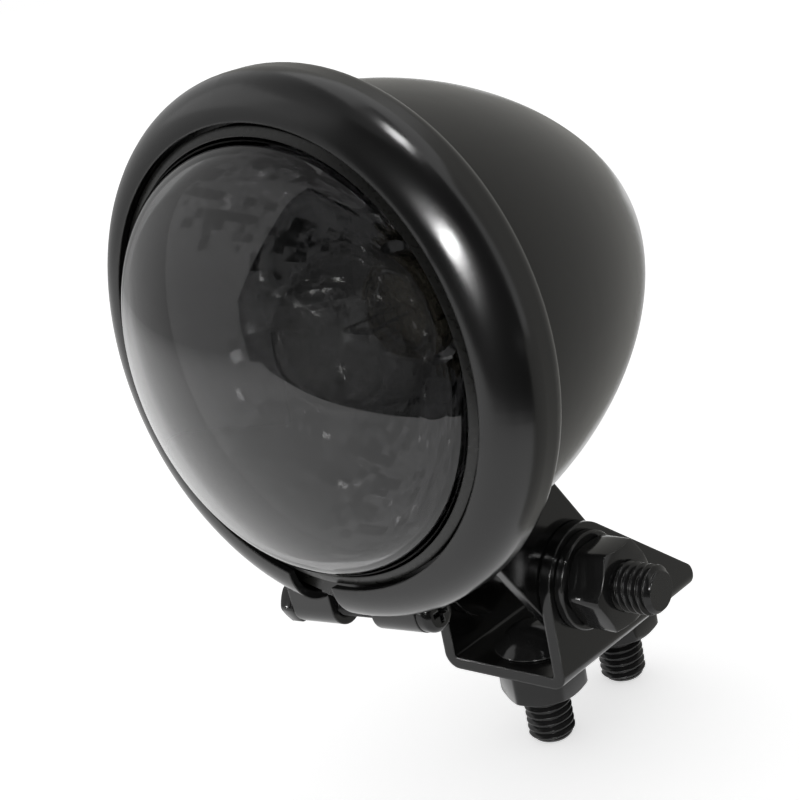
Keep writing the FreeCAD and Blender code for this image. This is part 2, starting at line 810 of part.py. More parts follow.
def hex_nut(name, flats, height, bore):
    """Hexagon nut on the XY plane, rising along +Z, with both faces chamfered."""
    body = new_body(name)
    blank = hexagon(new_sketch(body, name + "_hexagon", "XY_Plane"), flats)
    pad(body, blank, name + "_blank", height)
    hole = circle(new_sketch(body, name + "_bore", "XY_Plane"), ZERO, ZERO, bore)
    pocket(body, hole, name + "_bored", reverse=True)
    reach = flats / 2
    fall = s["hex_chamfer"]
    far = reach + fall * 3
    groove(body, name + "_lower", [(reach, ZERO), (far, fall * 1.8), (far, ZERO)])
    groove(body, name + "_upper", [(reach, height), (far, height), (far, height - fall * 1.8)])
    return body


clamp_bore = s["clamp_radius"] + s["thread_play"]
clamp_nut = hex_nut("clamp_nut", s["clamp_nut_flats"], s["clamp_nut_height"], clamp_bore)
keep(on_clamp(clamp_nut, -(short_end + s["clamp_nut_height"])), "bezel_clamp_nut")

# Neck: one folded sheet, a saddle under the shell and two legs down to the pivot
lean_cos = cosine(s["neck_lean"])
lean_sin = sine(s["neck_lean"])
neck_r = s["neck_radius"]
front_foot = (s["lamp_reach"] - neck_r * lean_sin, -lamp_rise - neck_r * lean_cos)
back_foot = (s["lamp_reach"] + neck_r * lean_sin, -lamp_rise + neck_r * lean_cos)
neck = new_body("neck_blank")
neck_sketch = outline(new_sketch(neck, "neck_side", "YZ_Plane"), [
    front_foot + (neck_r, "clockwise"),
    (front_foot[0] - s["neck_run"] * lean_cos, front_foot[1] + s["neck_run"] * lean_sin),
    (back_foot[0] - s["neck_run"] * lean_cos, back_foot[1] + s["neck_run"] * lean_sin),
    back_foot,
    (s["lamp_reach"] + neck_r * lean_cos, -lamp_rise - neck_r * lean_sin, neck_r, "clockwise"),
])
pad(neck, neck_sketch, "neck_width", leg_out * 2, both_ways=True)
neck_under = cut("neck_under_shell", neck, shell_form("shell_solid", ZERO))
room = box("neck_room", leg_in * 2, s["lamp_reach"] * 3, lamp_rise * 2)
place(room, x=-leg_in, y=-s["lamp_reach"], z=-(lamp_rise * 2))
neck_gap = cut("neck_gap", room, shell_form("saddle_solid", s["neck_sheet"]))
neck_fold = cut("neck_fold", neck_under, neck_gap)
pivot_hole = cylinder("neck_pivot_hole", bolt_hole, s["bracket_width"] * 2)
turn(pivot_hole, *AXIS_RIGHT)
place(pivot_hole, x=-s["bracket_width"], y=s["lamp_reach"], z=-lamp_rise)
neck_tools = fuse("neck_tools", [pivot_hole, underside_holes("neck")])
keep(on_lamp(cut("neck_bracket", neck_fold, neck_tools)), "neck_bracket")

# Rivets that hold the neck's saddle to the shell
seat_in = s["shell_sheet"] + s["seat_gap"]
seat_out = -s["neck_sheet"]


def spin_upright(name, corners):
    """Body turned about its own Z axis from an outline of (radius, z) corners."""
    body = new_body(name)
    profile = outline(new_sketch(body, name + "_profile", "XZ_Plane"), corners)
    feature = body.newObject("PartDesign::Revolution", name + "_turned")
    feature.Profile = profile
    feature.ReferenceAxis = (profile, ["V_Axis"])
    feature.Angle = 360
    return body


rivets = []
for label, back in (("rivet_front", s["rivet_front"]), ("rivet_back", s["rivet_back"])):
    rivet = spin_upright(label + "_solid", [
        (ZERO, seat_out - s["rivet_head_height"]),
        (s["rivet_radius"], seat_out - s["rivet_head_height"]),
        (s["rivet_head_radius"], seat_out),
        (s["rivet_radius"], seat_out),
        (s["rivet_radius"], seat_in),
        (s["rivet_head_radius"], seat_in),
        (s["rivet_radius"], seat_in + s["rivet_head_height"]),
        (ZERO, seat_in + s["rivet_head_height"]),
    ])
    rivets.append(under_shell(rivet, back))
rivet_group = doc.addObject("Part::Compound", "neck_rivets")
rivet_group.Links = rivets
keep(on_lamp(rivet_group), "neck_rivets")

# Rubber grommet for the lead, through saddle and shell
grommet = spin_upright("grommet_solid", [
    (s["grommet_bore"], seat_out - s["grommet_lip"]),
    (s["grommet_flange"], seat_out - s["grommet_lip"]),
    (s["grommet_flange"], seat_out),
    (s["grommet_radius"], seat_out),
    (s["grommet_radius"], seat_in),
    (s["grommet_flange"], seat_in),
    (s["grommet_flange"], seat_in + s["grommet_lip"]),
    (s["grommet_bore"], seat_in + s["grommet_lip"]),
])
under_shell(grommet, s["grommet_place"])
grommet_group = doc.addObject("Part::Compound", "wire_grommet")
grommet_group.Links = [grommet]
keep(on_lamp(grommet_group), "wire_grommet")

# Base bracket: folded channel cut to arched walls, two square holes in its floor
arch = s["arch_radius"]
slope_cos = cosine(s["wall_slope"])
slope_sin = sine(s["wall_slope"])
wall_back = s["bracket_back"]
corner = s["wall_corner"]
corner_y = wall_back - corner
corner_z = (arch - corner - slope_sin * corner_y) / slope_cos
under = -s["pivot_height"]
floor = under + s["bracket_sheet"]
bend = s["bracket_bend"]
bend_in = bend - s["bracket_sheet"]
wall_top = arch * 2
channel = new_body("channel_fold")
section = outline(new_sketch(channel, "channel_section", "XZ_Plane"), [
    (-wall_out, wall_top),
    (-wall_out, under + bend),
    (-(wall_out - bend), under, bend, "counter"),
    (wall_out - bend, under),
    (wall_out, under + bend, bend, "counter"),
    (wall_out, wall_top),
    (wall_in, wall_top),
    (wall_in, floor + bend_in),
    (wall_in - bend_in, floor, bend_in, "clockwise"),
    (-(wall_in - bend_in), floor),
    (-wall_in, floor + bend_in, bend_in, "clockwise"),
    (-wall_in, wall_top),
])
pad(channel, section, "channel_length", (wall_back + arch) * 2, both_ways=True)
wall = new_body("wall_shape")
wall_side = outline(new_sketch(wall, "wall_outline", "YZ_Plane"), [
    (-arch, under * 2),
    (-arch, ZERO),
    (arch * slope_sin, arch * slope_cos, arch, "clockwise"),
    (corner_y + corner * slope_sin, corner_z + corner * slope_cos),
    (wall_back, corner_z, corner, "clockwise"),
    (wall_back, under * 2),
])
pad(wall, wall_side, "wall_width", s["bracket_width"] * 2, both_ways=True)
base_blank = doc.addObject("Part::Common", "base_blank")
base_blank.Base = channel
base_blank.Tool = wall
base_tools = [cylinder("base_pivot_hole", bolt_hole, s["bracket_width"] * 2)]
turn(base_tools[0], *AXIS_RIGHT)
place(base_tools[0], x=-s["bracket_width"])
square = s["stud_square"] + s["square_play"] * 2
for label, along in (("front", ZERO), ("back", s["stud_spacing"])):
    window = box("square_hole_" + label, square, square, s["bracket_sheet"] * 3)
    place(window, x=-(square / 2), y=along - square / 2, z=under - s["bracket_sheet"])
    base_tools.append(window)
base_bracket = cut("base_bracket", base_blank, fuse("base_tools", base_tools))
keep(place(base_bracket, y=pivot_y, z=pivot_z), "base_bracket")


# Pivot bolt through both walls and both legs, with a washer at each wall
def washer(name):
    body = new_body(name)
    rings = new_sketch(body, name + "_rings", "XY_Plane")
    circle(rings, ZERO, ZERO, s["washer_radius"])
    circle(rings, ZERO, ZERO, bolt_hole)
    pad(body, rings, name + "_pad", s["washer_thickness"])
    return body


def on_pivot(thing, along):
    turn(thing, *AXIS_RIGHT)
    return place(thing, x=along, y=pivot_y, z=pivot_z)


grip = s["bracket_width"] + s["washer_thickness"] * 2
nut_end = grip + s["nut_height"]
bolt_end = nut_end + s["bolt_reach"]
pivot = spin_upright("pivot_bolt", [
    (ZERO, ZERO),
    (s["bolt_radius"], ZERO),
    (s["bolt_radius"], grip),
    (s["bolt_pitch_radius"], grip),
    (s["bolt_pitch_radius"], nut_end),
    (s["bolt_radius"], nut_end),
    (s["bolt_radius"], bolt_end - s["bolt_point"]),
    (s["bolt_radius"] - s["bolt_point"], bolt_end),
    (ZERO, bolt_end),
])
head = hexagon(new_sketch(pivot, "pivot_head_hexagon", "XY_Plane"), s["nut_flats"])
pad(pivot, head, "pivot_head", s["bolt_head_height"], reverse=True)
head_reach = s["nut_flats"] / 2
head_far = head_reach + s["hex_chamfer"] * 3
groove(pivot, "pivot_head_chamfer", [
    (head_reach, -s["bolt_head_height"]),
    (head_far, s["hex_chamfer"] * 1.8 - s["bolt_head_height"]),
    (head_far, -s["bolt_head_height"]),
])
keep(on_pivot(pivot, -(wall_out + s["washer_thickness"])), "pivot_bolt")
keep(on_pivot(washer("pivot_head_washer"), -(wall_out + s["washer_thickness"])), "pivot_head_washer")
keep(on_pivot(washer("pivot_nut_washer"), wall_out), "pivot_nut_washer")
nut_bore = s["bolt_pitch_radius"] + s["thread_play"]
pivot_nut = hex_nut("pivot_nut", s["nut_flats"], s["nut_height"], nut_bore)
keep(on_pivot(pivot_nut, wall_out + s["washer_thickness"]), "pivot_nut")

# Studs: round heads on the channel floor, square necks, nuts under the floor
head_r = s["stud_head_radius"]
head_h = s["stud_head_height"]
head_arc = (head_r * head_r + head_h * head_h) / (head_h * 2)
stud_end = s["bracket_sheet"] + s["stud_drop"]
stud_nut_end = s["bracket_sheet"] + s["nut_height"]
half_square = s["stud_square"] / 2
for label, along in (("front", -(s["stud_spacing"] / 2)), ("rear", s["stud_spacing"] / 2)):
    stud = spin_upright(label + "_stud_bolt", [
        (ZERO, -stud_end),
        (s["bolt_radius"] - s["bolt_point"], -stud_end),
        (s["bolt_radius"], s["bolt_point"] - stud_end),
        (s["bolt_radius"], -stud_nut_end),
        (s["bolt_pitch_radius"], -stud_nut_end),
        (s["bolt_pitch_radius"], ZERO),
        (head_r, ZERO),
        (ZERO, head_h, head_arc, "counter"),
    ])
    neck_square = outline(new_sketch(stud, label + "_stud_square", "XY_Plane"), [
        (half_square, -half_square),
        (half_square, half_square),
        (-half_square, half_square),
        (-half_square, -half_square),
    ])
    pad(stud, neck_square, label + "_stud_neck", s["bracket_sheet"], reverse=True)
    keep(place(stud, y=along, z=base_top), label + "_stud_bolt")
    nut = hex_nut(label + "_stud_nut", s["nut_flats"], s["nut_height"], nut_bore)
    keep(place(nut, y=along), label + "_stud_nut")

# Build, test and write
doc.recompute()
faults = [thing.Name for thing in doc.Objects if "Invalid" in thing.State or "Error" in thing.State]
if faults:
    raise RuntimeError("failed objects: %s" % ", ".join(faults))
for node in NODES:
    if node.Shape.isNull() or not node.Shape.isValid() or not node.Shape.Solids:
        raise RuntimeError("bad shape: %s" % node.Label)
os.makedirs("parts", exist_ok=True)
for node in NODES:
    node.Shape.exportStep("parts/%s.step" % node.Label)
    bounds = node.Shape.BoundBox
    print("%-20s %d solid(s) %9.1f mm3  x %.1f..%.1f y %.1f..%.1f z %.1f..%.1f" % (
        node.Label, len(node.Shape.Solids), node.Shape.Volume, bounds.XMin, bounds.XMax,
        bounds.YMin, bounds.YMax, bounds.ZMin, bounds.ZMax))
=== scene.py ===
"""Looks for the bullet tail light: materials, threaded fasteners, studio and camera."""
import bmesh
import bpy
import json
import math
from mathutils import Matrix, Vector

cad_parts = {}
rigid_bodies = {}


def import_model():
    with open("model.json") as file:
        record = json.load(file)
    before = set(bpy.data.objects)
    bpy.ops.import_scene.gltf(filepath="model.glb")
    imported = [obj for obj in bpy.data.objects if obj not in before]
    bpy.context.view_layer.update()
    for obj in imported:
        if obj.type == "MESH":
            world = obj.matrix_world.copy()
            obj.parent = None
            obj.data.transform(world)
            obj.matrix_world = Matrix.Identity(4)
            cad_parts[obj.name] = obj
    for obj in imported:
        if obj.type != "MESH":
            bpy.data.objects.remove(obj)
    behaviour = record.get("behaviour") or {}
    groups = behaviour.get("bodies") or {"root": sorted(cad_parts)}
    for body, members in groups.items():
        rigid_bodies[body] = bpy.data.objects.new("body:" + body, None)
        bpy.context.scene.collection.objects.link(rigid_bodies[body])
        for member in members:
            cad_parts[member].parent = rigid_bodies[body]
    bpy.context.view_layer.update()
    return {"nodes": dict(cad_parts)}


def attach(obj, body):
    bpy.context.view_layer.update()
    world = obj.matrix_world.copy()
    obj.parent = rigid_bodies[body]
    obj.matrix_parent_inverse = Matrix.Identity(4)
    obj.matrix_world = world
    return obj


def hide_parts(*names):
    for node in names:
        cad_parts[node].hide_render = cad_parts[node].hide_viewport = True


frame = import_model()
MM = 0.001

# Places shared with the part, in millimetres
FLOOR_Z = -8.7
PIVOT = Vector((0.0, -11.0, 22.0))
LAMP = Vector((0.0, -46.4, 71.8))
BASE_TOP = 8.5
WALL_OUT = 12.3
WASHER = 1.6
NUT_HEIGHT = 6.5
NUT_FLATS = 13.0
THREAD = 4.0
PITCH = 1.25

# Camera at the photograph's viewing angle
SENSOR = 36.0
FOCAL_PIXELS = 1599.0
FRAME_PIXELS = 800.0
eye = Vector((158.96, -193.68, 128.63)) * MM
right = Vector((0.74125, 0.64324, -0.19178)).normalized()
back = Vector((0.66878, -0.68341, 0.29271)).normalized()
up = back.cross(right)
camera_data = bpy.data.cameras.new("camera")
camera_data.sensor_width = SENSOR
camera_data.lens = SENSOR * FOCAL_PIXELS / FRAME_PIXELS
camera_data.clip_start = 0.01
camera = bpy.data.objects.new("camera", camera_data)
camera.matrix_world = Matrix.Translation(eye) @ Matrix((right, up, back)).transposed().to_4x4()
bpy.context.collection.objects.link(camera)
bpy.context.scene.camera = camera
bpy.context.scene.view_settings.view_transform = "Standard"


# Material helpers; the first three are the Mix node's sockets for colours
MIX_FIRST = 6
MIX_LAST = 7
MIX_RESULT = 2
FLAT_DOT = 0.985
SHARP_DOT = 0.86


class Look:
    """A node material with its Principled shader and short ways to add nodes."""

    def __init__(self, name):
        self.material = bpy.data.materials.new(name)
        self.material.use_nodes = True
        self.tree = self.material.node_tree
        self.shader = self.tree.nodes["Principled BSDF"]
        self.place = self.node("ShaderNodeTexCoord").outputs["Object"]

    def node(self, kind, **settings):
        made = self.tree.nodes.new(kind)
        for key, value in settings.items():
            setattr(made, key, value)
        return made

    def link(self, source, target):
        self.tree.links.new(source, target)

    def set(self, **values):
        for key, value in values.items():
            self.shader.inputs[key.replace("_", " ")].default_value = value

    def noise(self, scale, detail=3.0, rough=0.5):
        made = self.node("ShaderNodeTexNoise")
        self.link(self.place, made.inputs["Vector"])
        made.inputs["Scale"].default_value = scale
        made.inputs["Detail"].default_value = detail
        made.inputs["Roughness"].default_value = rough
        return made.outputs["Fac"]

    def cells(self, scale):
        made = self.node("ShaderNodeTexVoronoi", feature="F1")
        self.link(self.place, made.inputs["Vector"])
        made.inputs["Scale"].default_value = scale
        return made.outputs["Distance"]

    def span(self, source, low, high, first, last):
        made = self.node("ShaderNodeMapRange", interpolation_type="SMOOTHSTEP")
        self.link(source, made.inputs["Value"])
        made.inputs["From Min"].default_value = low
        made.inputs["From Max"].default_value = high
        made.inputs["To Min"].default_value = first
        made.inputs["To Max"].default_value = last
        return made.outputs["Result"]

    def tint(self, source, first, last):
        made = self.node("ShaderNodeMix", data_type="RGBA")
        self.link(source, made.inputs["Factor"])
        made.inputs[MIX_FIRST].default_value = (*first, 1.0)
        made.inputs[MIX_LAST].default_value = (*last, 1.0)
        return made.outputs[MIX_RESULT]

    def math(self, kind, first, second):
        made = self.node("ShaderNodeMath", operation=kind)
        for socket, value in zip(made.inputs, (first, second)):
            if isinstance(value, float):
                socket.default_value = value
            else:
                self.link(value, socket)
        return made.outputs[0]

    def rounded(self, radius):
        """Normals that run round every edge, as paint does over a sheet's edge."""
        made = self.node("ShaderNodeBevel", samples=6)
        made.inputs["Radius"].default_value = radius
        return made.outputs["Normal"]

    def edges(self, radius):
        """A mask that is 1 along sharp edges."""
        hard = self.node("ShaderNodeNewGeometry").outputs["Normal"]
        dot = self.node("ShaderNodeVectorMath", operation="DOT_PRODUCT")
        self.link(self.rounded(radius), dot.inputs[0])
        self.link(hard, dot.inputs[1])
        return self.span(dot.outputs["Value"], FLAT_DOT, SHARP_DOT, 0.0, 1.0)

    def bump(self, height, strength, distance, normal=None):
        made = self.node("ShaderNodeBump")
        made.inputs["Strength"].default_value = strength
        made.inputs["Distance"].default_value = distance
        self.link(height, made.inputs["Height"])
        if normal is not None:
            self.link(normal, made.inputs["Normal"])
        self.link(made.outputs["Normal"], self.shader.inputs["Normal"])

    def colour(self, socket):
        self.link(socket, self.shader.inputs["Base Color"])

    def rough(self, socket):
        self.link(socket, self.shader.inputs["Roughness"])


def paint(name, deep, edge_wear_and_highlight_colour, smooth, edge, ior):
    """Black enamel: slight orange peel, drifting gloss, lighter along edges, partly thin worn paint
    and partly a painted highlight.
    """
    look = Look(name)
    look.set(IOR=ior)
    drift = look.noise(38.0, 4.0)
    dust = look.span(look.cells(420.0), 0.05, 0.025, 0.0, 1.0)
    patchy = look.span(look.noise(210.0, 5.0), 0.42, 0.66, 0.15, 1.0)
    # Edge mask: partly worn paint, partly a painted highlight where edges catch light
    edge_wear_and_highlight = look.math("MULTIPLY", look.edges(edge), patchy)
    mask = look.math("MAXIMUM", edge_wear_and_highlight, look.math("MULTIPLY", dust, 0.3))
    look.colour(look.tint(mask, deep, edge_wear_and_highlight_colour))
    look.rough(look.span(drift, 0.3, 0.7, smooth * 0.85, smooth * 1.25))
    look.bump(look.noise(520.0, 2.0), 0.05, 0.00012, look.rounded(edge))
    return look.material


def plated(name, deep, edge_wear_and_highlight_colour, smooth, edge, metal):
    """Black-finished steel: fine grain, lighter along edges, partly rubbed steel and partly a painted
    highlight.
    """
    look = Look(name)
    look.set(IOR=1.45, Metallic=metal)
    grain = look.noise(900.0, 6.0, 0.65)
    patchy = look.span(look.noise(420.0, 4.0), 0.4, 0.65, 0.2, 1.0)
    # Lighter along edges: partly rubbed steel, partly a painted highlight where edges catch light
    look.colour(look.tint(look.math("MULTIPLY", look.edges(edge), patchy), deep, edge_wear_and_highlight_colour))
    look.rough(look.span(grain, 0.3, 0.75, smooth * 0.75, smooth * 1.4))
    look.bump(grain, 0.10, 0.00008, look.rounded(edge))
    return look.material


def smoke_lens():
    """Dark polycarbonate: clear and glossy, with a little drifting haze."""
    look = Look("smoke_lens")
    look.set(IOR=1.5, Transmission_Weight=1.0)
    drift = look.noise(30.0, 3.0)
    haze = look.span(drift, 0.3, 0.7, 0.0, 1.0)
    look.colour(look.tint(haze, (0.172, 0.172, 0.173), (0.192, 0.192, 0.192)))
    look.rough(look.span(look.noise(75.0, 5.0), 0.35, 0.75, 0.008, 0.05))
    return look.material


def mirror():
    """Vacuum-metallised plastic: bright, very slightly clouded."""
    look = Look("mirror_facets")
    look.set(Metallic=1.0)
    cloud = look.noise(120.0, 4.0)
    look.colour(look.tint(cloud, (0.62, 0.62, 0.63), (0.80, 0.80, 0.80)))
    look.rough(look.span(cloud, 0.3, 0.7, 0.03, 0.09))
    look.bump(look.noise(700.0, 3.0), 0.05, 0.0001)
    return look.material


def rubber(name, tone, low, high, grit):
    look = Look(name)
    grain = look.noise(1600.0, 5.0)
    look.colour(look.tint(grain, tone, tuple(c * 1.7 for c in tone)))
    look.rough(look.span(grain, 0.3, 0.7, low, high))
    look.bump(grain, grit, 0.0001)
    return look.material


def metal(name, first, last, low, high, grain_scale):
    look = Look(name)
    look.set(Metallic=1.0)
    grain = look.noise(grain_scale, 5.0, 0.6)
    look.colour(look.tint(grain, first, last))
    look.rough(look.span(grain, 0.3, 0.7, low, high))
    look.bump(grain, 0.08, 0.00008, look.rounded(0.0002))
    return look.material


def phenolic():
    look = Look("insulating_plastic")
    fleck = look.noise(1100.0, 4.0)
    look.colour(look.tint(fleck, (0.10, 0.045, 0.02), (0.17, 0.08, 0.035)))
    look.rough(look.span(fleck, 0.3, 0.7, 0.4, 0.6))
    look.bump(fleck, 0.12, 0.0001)
    return look.material


def glass():
    look = Look("bulb_glass")
    look.set(IOR=1.5, Transmission_Weight=1.0)
    wave = look.noise(90.0, 2.0)
    look.colour(look.tint(wave, (0.93, 0.93, 0.92), (0.98, 0.98, 0.98)))
    look.rough(look.span(wave, 0.3, 0.7, 0.0, 0.03))
    look.bump(wave, 0.02, 0.0003)
    return look.material


# The second colour of each finish goes along its edges: partly wear, partly a painted highlight
enamel = paint("black_enamel", (0.0035, 0.0035, 0.0035), (0.022, 0.022, 0.021),
               0.20, 0.0004, 1.5)
sheet_enamel = paint("black_sheet_enamel", (0.0025, 0.0025, 0.0025), (0.034, 0.034, 0.033),
                     0.13, 0.0005, 1.42)
black_steel = plated("black_steel", (0.004, 0.004, 0.004), (0.050, 0.050, 0.048),
                     0.13, 0.0003, 0.1)
thread_steel = plated("black_thread_steel", (0.005, 0.005, 0.005), (0.07, 0.07, 0.068),
                      0.2, 0.00012, 0.15)
gasket_rubber = rubber("gasket_rubber", (0.0150, 0.0150, 0.0130), 0.52, 0.70, 0.2)
seal_rubber = rubber("seal_rubber", (0.0090, 0.0090, 0.0080), 0.26, 0.40, 0.02)
grommet_rubber = rubber("grommet_rubber", (0.014, 0.014, 0.014), 0.52, 0.70, 0.2)
brass = metal("brass", (0.46, 0.41, 0.31), (0.58, 0.53, 0.42), 0.2, 0.36, 800.0)
spring_steel = metal("spring_steel", (0.42, 0.42, 0.42), (0.56, 0.56, 0.55), 0.22, 0.36, 1200.0)
bulb_glass = glass()
smoke = smoke_lens()
mirrored_plastic = mirror()

LOOKS = {
    "housing_shell": enamel,
    "bezel_ring": enamel,
    "lens": smoke,
    "lens_gasket": gasket_rubber,
    "lens_seal": seal_rubber,
    "reflector": mirrored_plastic,
    "socket_barrel": brass,
    "socket_insulator": phenolic(),
    "contact_pins": brass,
    "contact_spring": spring_steel,
    "bulb": bulb_glass,
    "bezel_clamp_screw": black_steel,
    "bezel_clamp_nut": black_steel,
    "neck_bracket": sheet_enamel,
    "neck_rivets": black_steel,
    "wire_grommet": grommet_rubber,
    "base_bracket": sheet_enamel,
    "pivot_bolt": black_steel,
    "pivot_head_washer": black_steel,
    "pivot_nut_washer": black_steel,
    "pivot_nut": black_steel,
    "front_stud_bolt": black_steel,
    "front_stud_nut": black_steel,
    "rear_stud_bolt": black_steel,
    "rear_stud_nut": black_steel,
}
for node, look in LOOKS.items():
    node_mesh = frame["nodes"][node].data
    node_mesh.materials.clear()
    node_mesh.materials.append(look)

# Mesh helpers, in millimetres along +Z
ROUND = 96
FINE_ROUND = 180
AXIS_HOLE = 0.02
CORNER_EASE = 0.12
EDGE_EASE = 0.08
EDGE_STEP = 0.1
EDGE_SLOPE = 0.06
FACE_INSET = 0.15
BORE_CHAMFER = 0.7
THREAD_DEPTH = 0.60
POINT_CORE = 1.25
POINT_SLOPE = 0.85
THREAD_LOOK = 1

# Shares of the pitch, each with its share of the thread's depth
THREAD_SECTION = ((0.0, 1.0), (0.17, 1.0), (0.27, 0.8), (0.50, 0.1),
                  (0.56, 0.0), (0.70, 0.0), (0.76, 0.1), (0.96, 0.8))


def add_ring(bm, radii, z, count=ROUND):
    """One closed loop of points; radii is a number or a list, z likewise."""
    made = []
    for i in range(count):
        turn = 2.0 * math.pi * i / count
        r = radii[i] if isinstance(radii, list) else radii
        height = z[i] if isinstance(z, list) else z
        made.append(bm.verts.new((r * math.cos(turn), r * math.sin(turn), height)))
    return made


def join_rings(bm, rings):
    for low, high in zip(rings, rings[1:]):
        for i in range(len(low)):
            j = (i + 1) % len(low)
            bm.faces.new((low[i], low[j], high[j], high[i]))


def close_ends(bm, rings):
    bm.faces.new(rings[0])
    bm.faces.new(rings[-1])


def lathe(bm, profile, count=ROUND):
    """Solid of revolution from (radius, z) points, closed at both ends; gives its points."""
    rings = [add_ring(bm, r, z, count) for r, z in profile]
    join_rings(bm, rings)
    close_ends(bm, rings)
    return [vert for ring in rings for vert in ring]


def lathe_ring(bm, section, count=ROUND):
    """Ring of revolution from the (radius, z) points of its closed section."""
    rings = [add_ring(bm, r, z, count) for r, z in section]
    join_rings(bm, rings + [rings[0]])


def bend(middle_r, middle_z, radius, first, last, count):
    """Points of an arc in the (radius, z) plane; 0 degrees points ahead, 90 outwards."""
    made = []
    for i in range(count + 1):
        turn = math.radians(first + (last - first) * i / count)
        r = max(middle_r + radius * math.sin(turn), AXIS_HOLE)
        made.append((r, middle_z - radius * math.cos(turn)))
    return made


def hex_radii(flats):
    """Distance to a hexagon's side round the circle, its corners eased."""
    limit = flats / math.sqrt(3.0) - CORNER_EASE
    made = []
    for i in range(ROUND):
        turn = (360.0 * i / ROUND + 30.0) % 60.0 - 30.0
        made.append(min(flats / 2.0 / math.cos(math.radians(turn)), limit))
    return made


def hex_block(bm, flats, height, bore, both):
    """Hexagon nut or head, its edges eased and one or both faces chamfered at 30 degrees."""
    sides = hex_radii(flats)
    ease = [r - EDGE_EASE for r in sides]
    face = flats / 2.0 - FACE_INSET
    drop = [max(0.0, r - face) * math.tan(math.radians(30.0)) for r in sides]
    low = drop if both else [EDGE_STEP] * ROUND
    rings = []
    if bore:
        rings.append(add_ring(bm, bore, BORE_CHAMFER))
        rings.append(add_ring(bm, bore + BORE_CHAMFER, 0.0))
    rings.append(add_ring(bm, face - EDGE_STEP, 0.0))
    rings.append(add_ring(bm, ease, [max(d - EDGE_SLOPE, 0.0) for d in low]))
    rings.append(add_ring(bm, sides, [d + EDGE_STEP for d in low]))
    rings.append(add_ring(bm, sides, [height - d - EDGE_STEP for d in drop]))
    rings.append(add_ring(bm, ease, [height - max(d - EDGE_SLOPE, 0.0) for d in drop]))
    rings.append(add_ring(bm, face - EDGE_STEP, height))
    if bore:
        rings.append(add_ring(bm, bore + BORE_CHAMFER, height))
        rings.append(add_ring(bm, bore, height - BORE_CHAMFER))
        join_rings(bm, rings + [rings[0]])
    else:
        join_rings(bm, rings)
        close_ends(bm, rings)


def thread(bm, crest, pitch, start, finish, point, steps=56):
    """Helical thread between two heights, cut flat at both and pointed at the far one."""
    depth = THREAD_DEPTH * pitch
    section = [(share, crest - depth * down) for share, down in THREAD_SECTION]
    turns = int(math.ceil((finish - start) / pitch)) + 3
    own = bmesh.new()
    columns = []
    for i in range(turns * steps + 1):
        turn = 2.0 * math.pi * i / steps
        base = start - 1.5 * pitch + pitch * i / steps
        column = []
        for share, r in section:
            place = (r * math.cos(turn), r * math.sin(turn), base + share * pitch)
            column.append(own.verts.new(place))
        columns.append(column)
    for i in range(turns * steps):
        here, there = columns[i], columns[i + 1]
        for k in range(len(section) - 1):
            own.faces.new((here[k], there[k], there[k + 1], here[k + 1]))
        if i + steps + 1 <= turns * steps:
            above, beyond = columns[i + steps], columns[i + steps + 1]
            own.faces.new((here[-1], there[-1], beyond[0], above[0]))
    for height, outward in ((start, -1.0), (finish, 1.0)):
        everything = own.verts[:] + own.edges[:] + own.faces[:]
        bmesh.ops.bisect_plane(own, geom=everything, plane_co=(0, 0, height),
                               plane_no=(0, 0, outward), clear_outer=True)
    loose = [edge for edge in own.edges if edge.is_boundary]
    bmesh.ops.holes_fill(own, edges=loose, sides=0)
    for vert in own.verts:
        left = abs(finish - vert.co.z)
        limit = crest - depth * POINT_CORE + left * POINT_SLOPE / point
        r = math.hypot(vert.co.x, vert.co.y)
        if r > limit > 0.0:
            vert.co.x *= limit / r
            vert.co.y *= limit / r
    bmesh.ops.recalc_face_normals(own, faces=own.faces)
    matched = {vert: bm.verts.new(vert.co) for vert in own.verts}
    for face in own.faces:
        bm.faces.new([matched[vert] for vert in face.verts]).material_index = THREAD_LOOK
    own.free()


def tube(bm, points, radius, sides):
    """Round wire along a list of points."""
    rings = []
    for i, point in enumerate(points):
        ahead = points[min(i + 1, len(points) - 1)] - points[max(i - 1, 0)]
        across = ahead.cross(Vector((0.31, 0.95, 0.05))).normalized()
        over = across.cross(ahead).normalized()
        ring = []
        for k in range(sides):
            turn = 2.0 * math.pi * k / sides
            offset = math.cos(turn) * across + math.sin(turn) * over
            ring.append(bm.verts.new(point + radius * offset))
        rings.append(ring)
    join_rings(bm, rings)
    close_ends(bm, rings)


def add_piece(name, make, looks, body, node, place, angle=35.0):
    """Builds a piece in millimetres, places it, and sets it to ride on its body."""
    bm = bmesh.new()
    make(bm)
    bmesh.ops.recalc_face_normals(bm, faces=bm.faces)
    bmesh.ops.transform(bm, matrix=place, verts=bm.verts)
    bmesh.ops.scale(bm, vec=(MM, MM, MM), verts=bm.verts)
    for edge in bm.edges:
        edge.smooth = edge.calc_face_angle(0.0) < math.radians(angle)
    for face in bm.faces:
        face.smooth = True
    made = bpy.data.meshes.new(name)
    bm.to_mesh(made)
    bm.free()
    for look in looks:
        made.materials.append(look)
    piece = bpy.data.objects.new(name, made)
    bpy.context.collection.objects.link(piece)
    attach(piece, body)
    if node:
        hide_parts(node)
    return piece


FLIP = Matrix.Rotation(math.pi, 4, "X")
TO_RIGHT = Matrix.Rotation(math.pi / 2.0, 4, "Y")
TO_BACK = Matrix.Rotation(-math.pi / 2.0, 4, "X")
PLAIN_STEEL = (black_steel,)
THREADED_STEEL = (black_steel, thread_steel)

# Studs: domed heads on the channel floor, threads below it
HEAD_RADIUS = 7.0
HEAD_HEIGHT = 4.0
STUD_CORE = 3.9
STUD_NECK = 2.0
STUD_END = 17.2
STUD_OFFSET = 11.0
NUT_BORE = 3.45
THREAD_POINT = 0.9


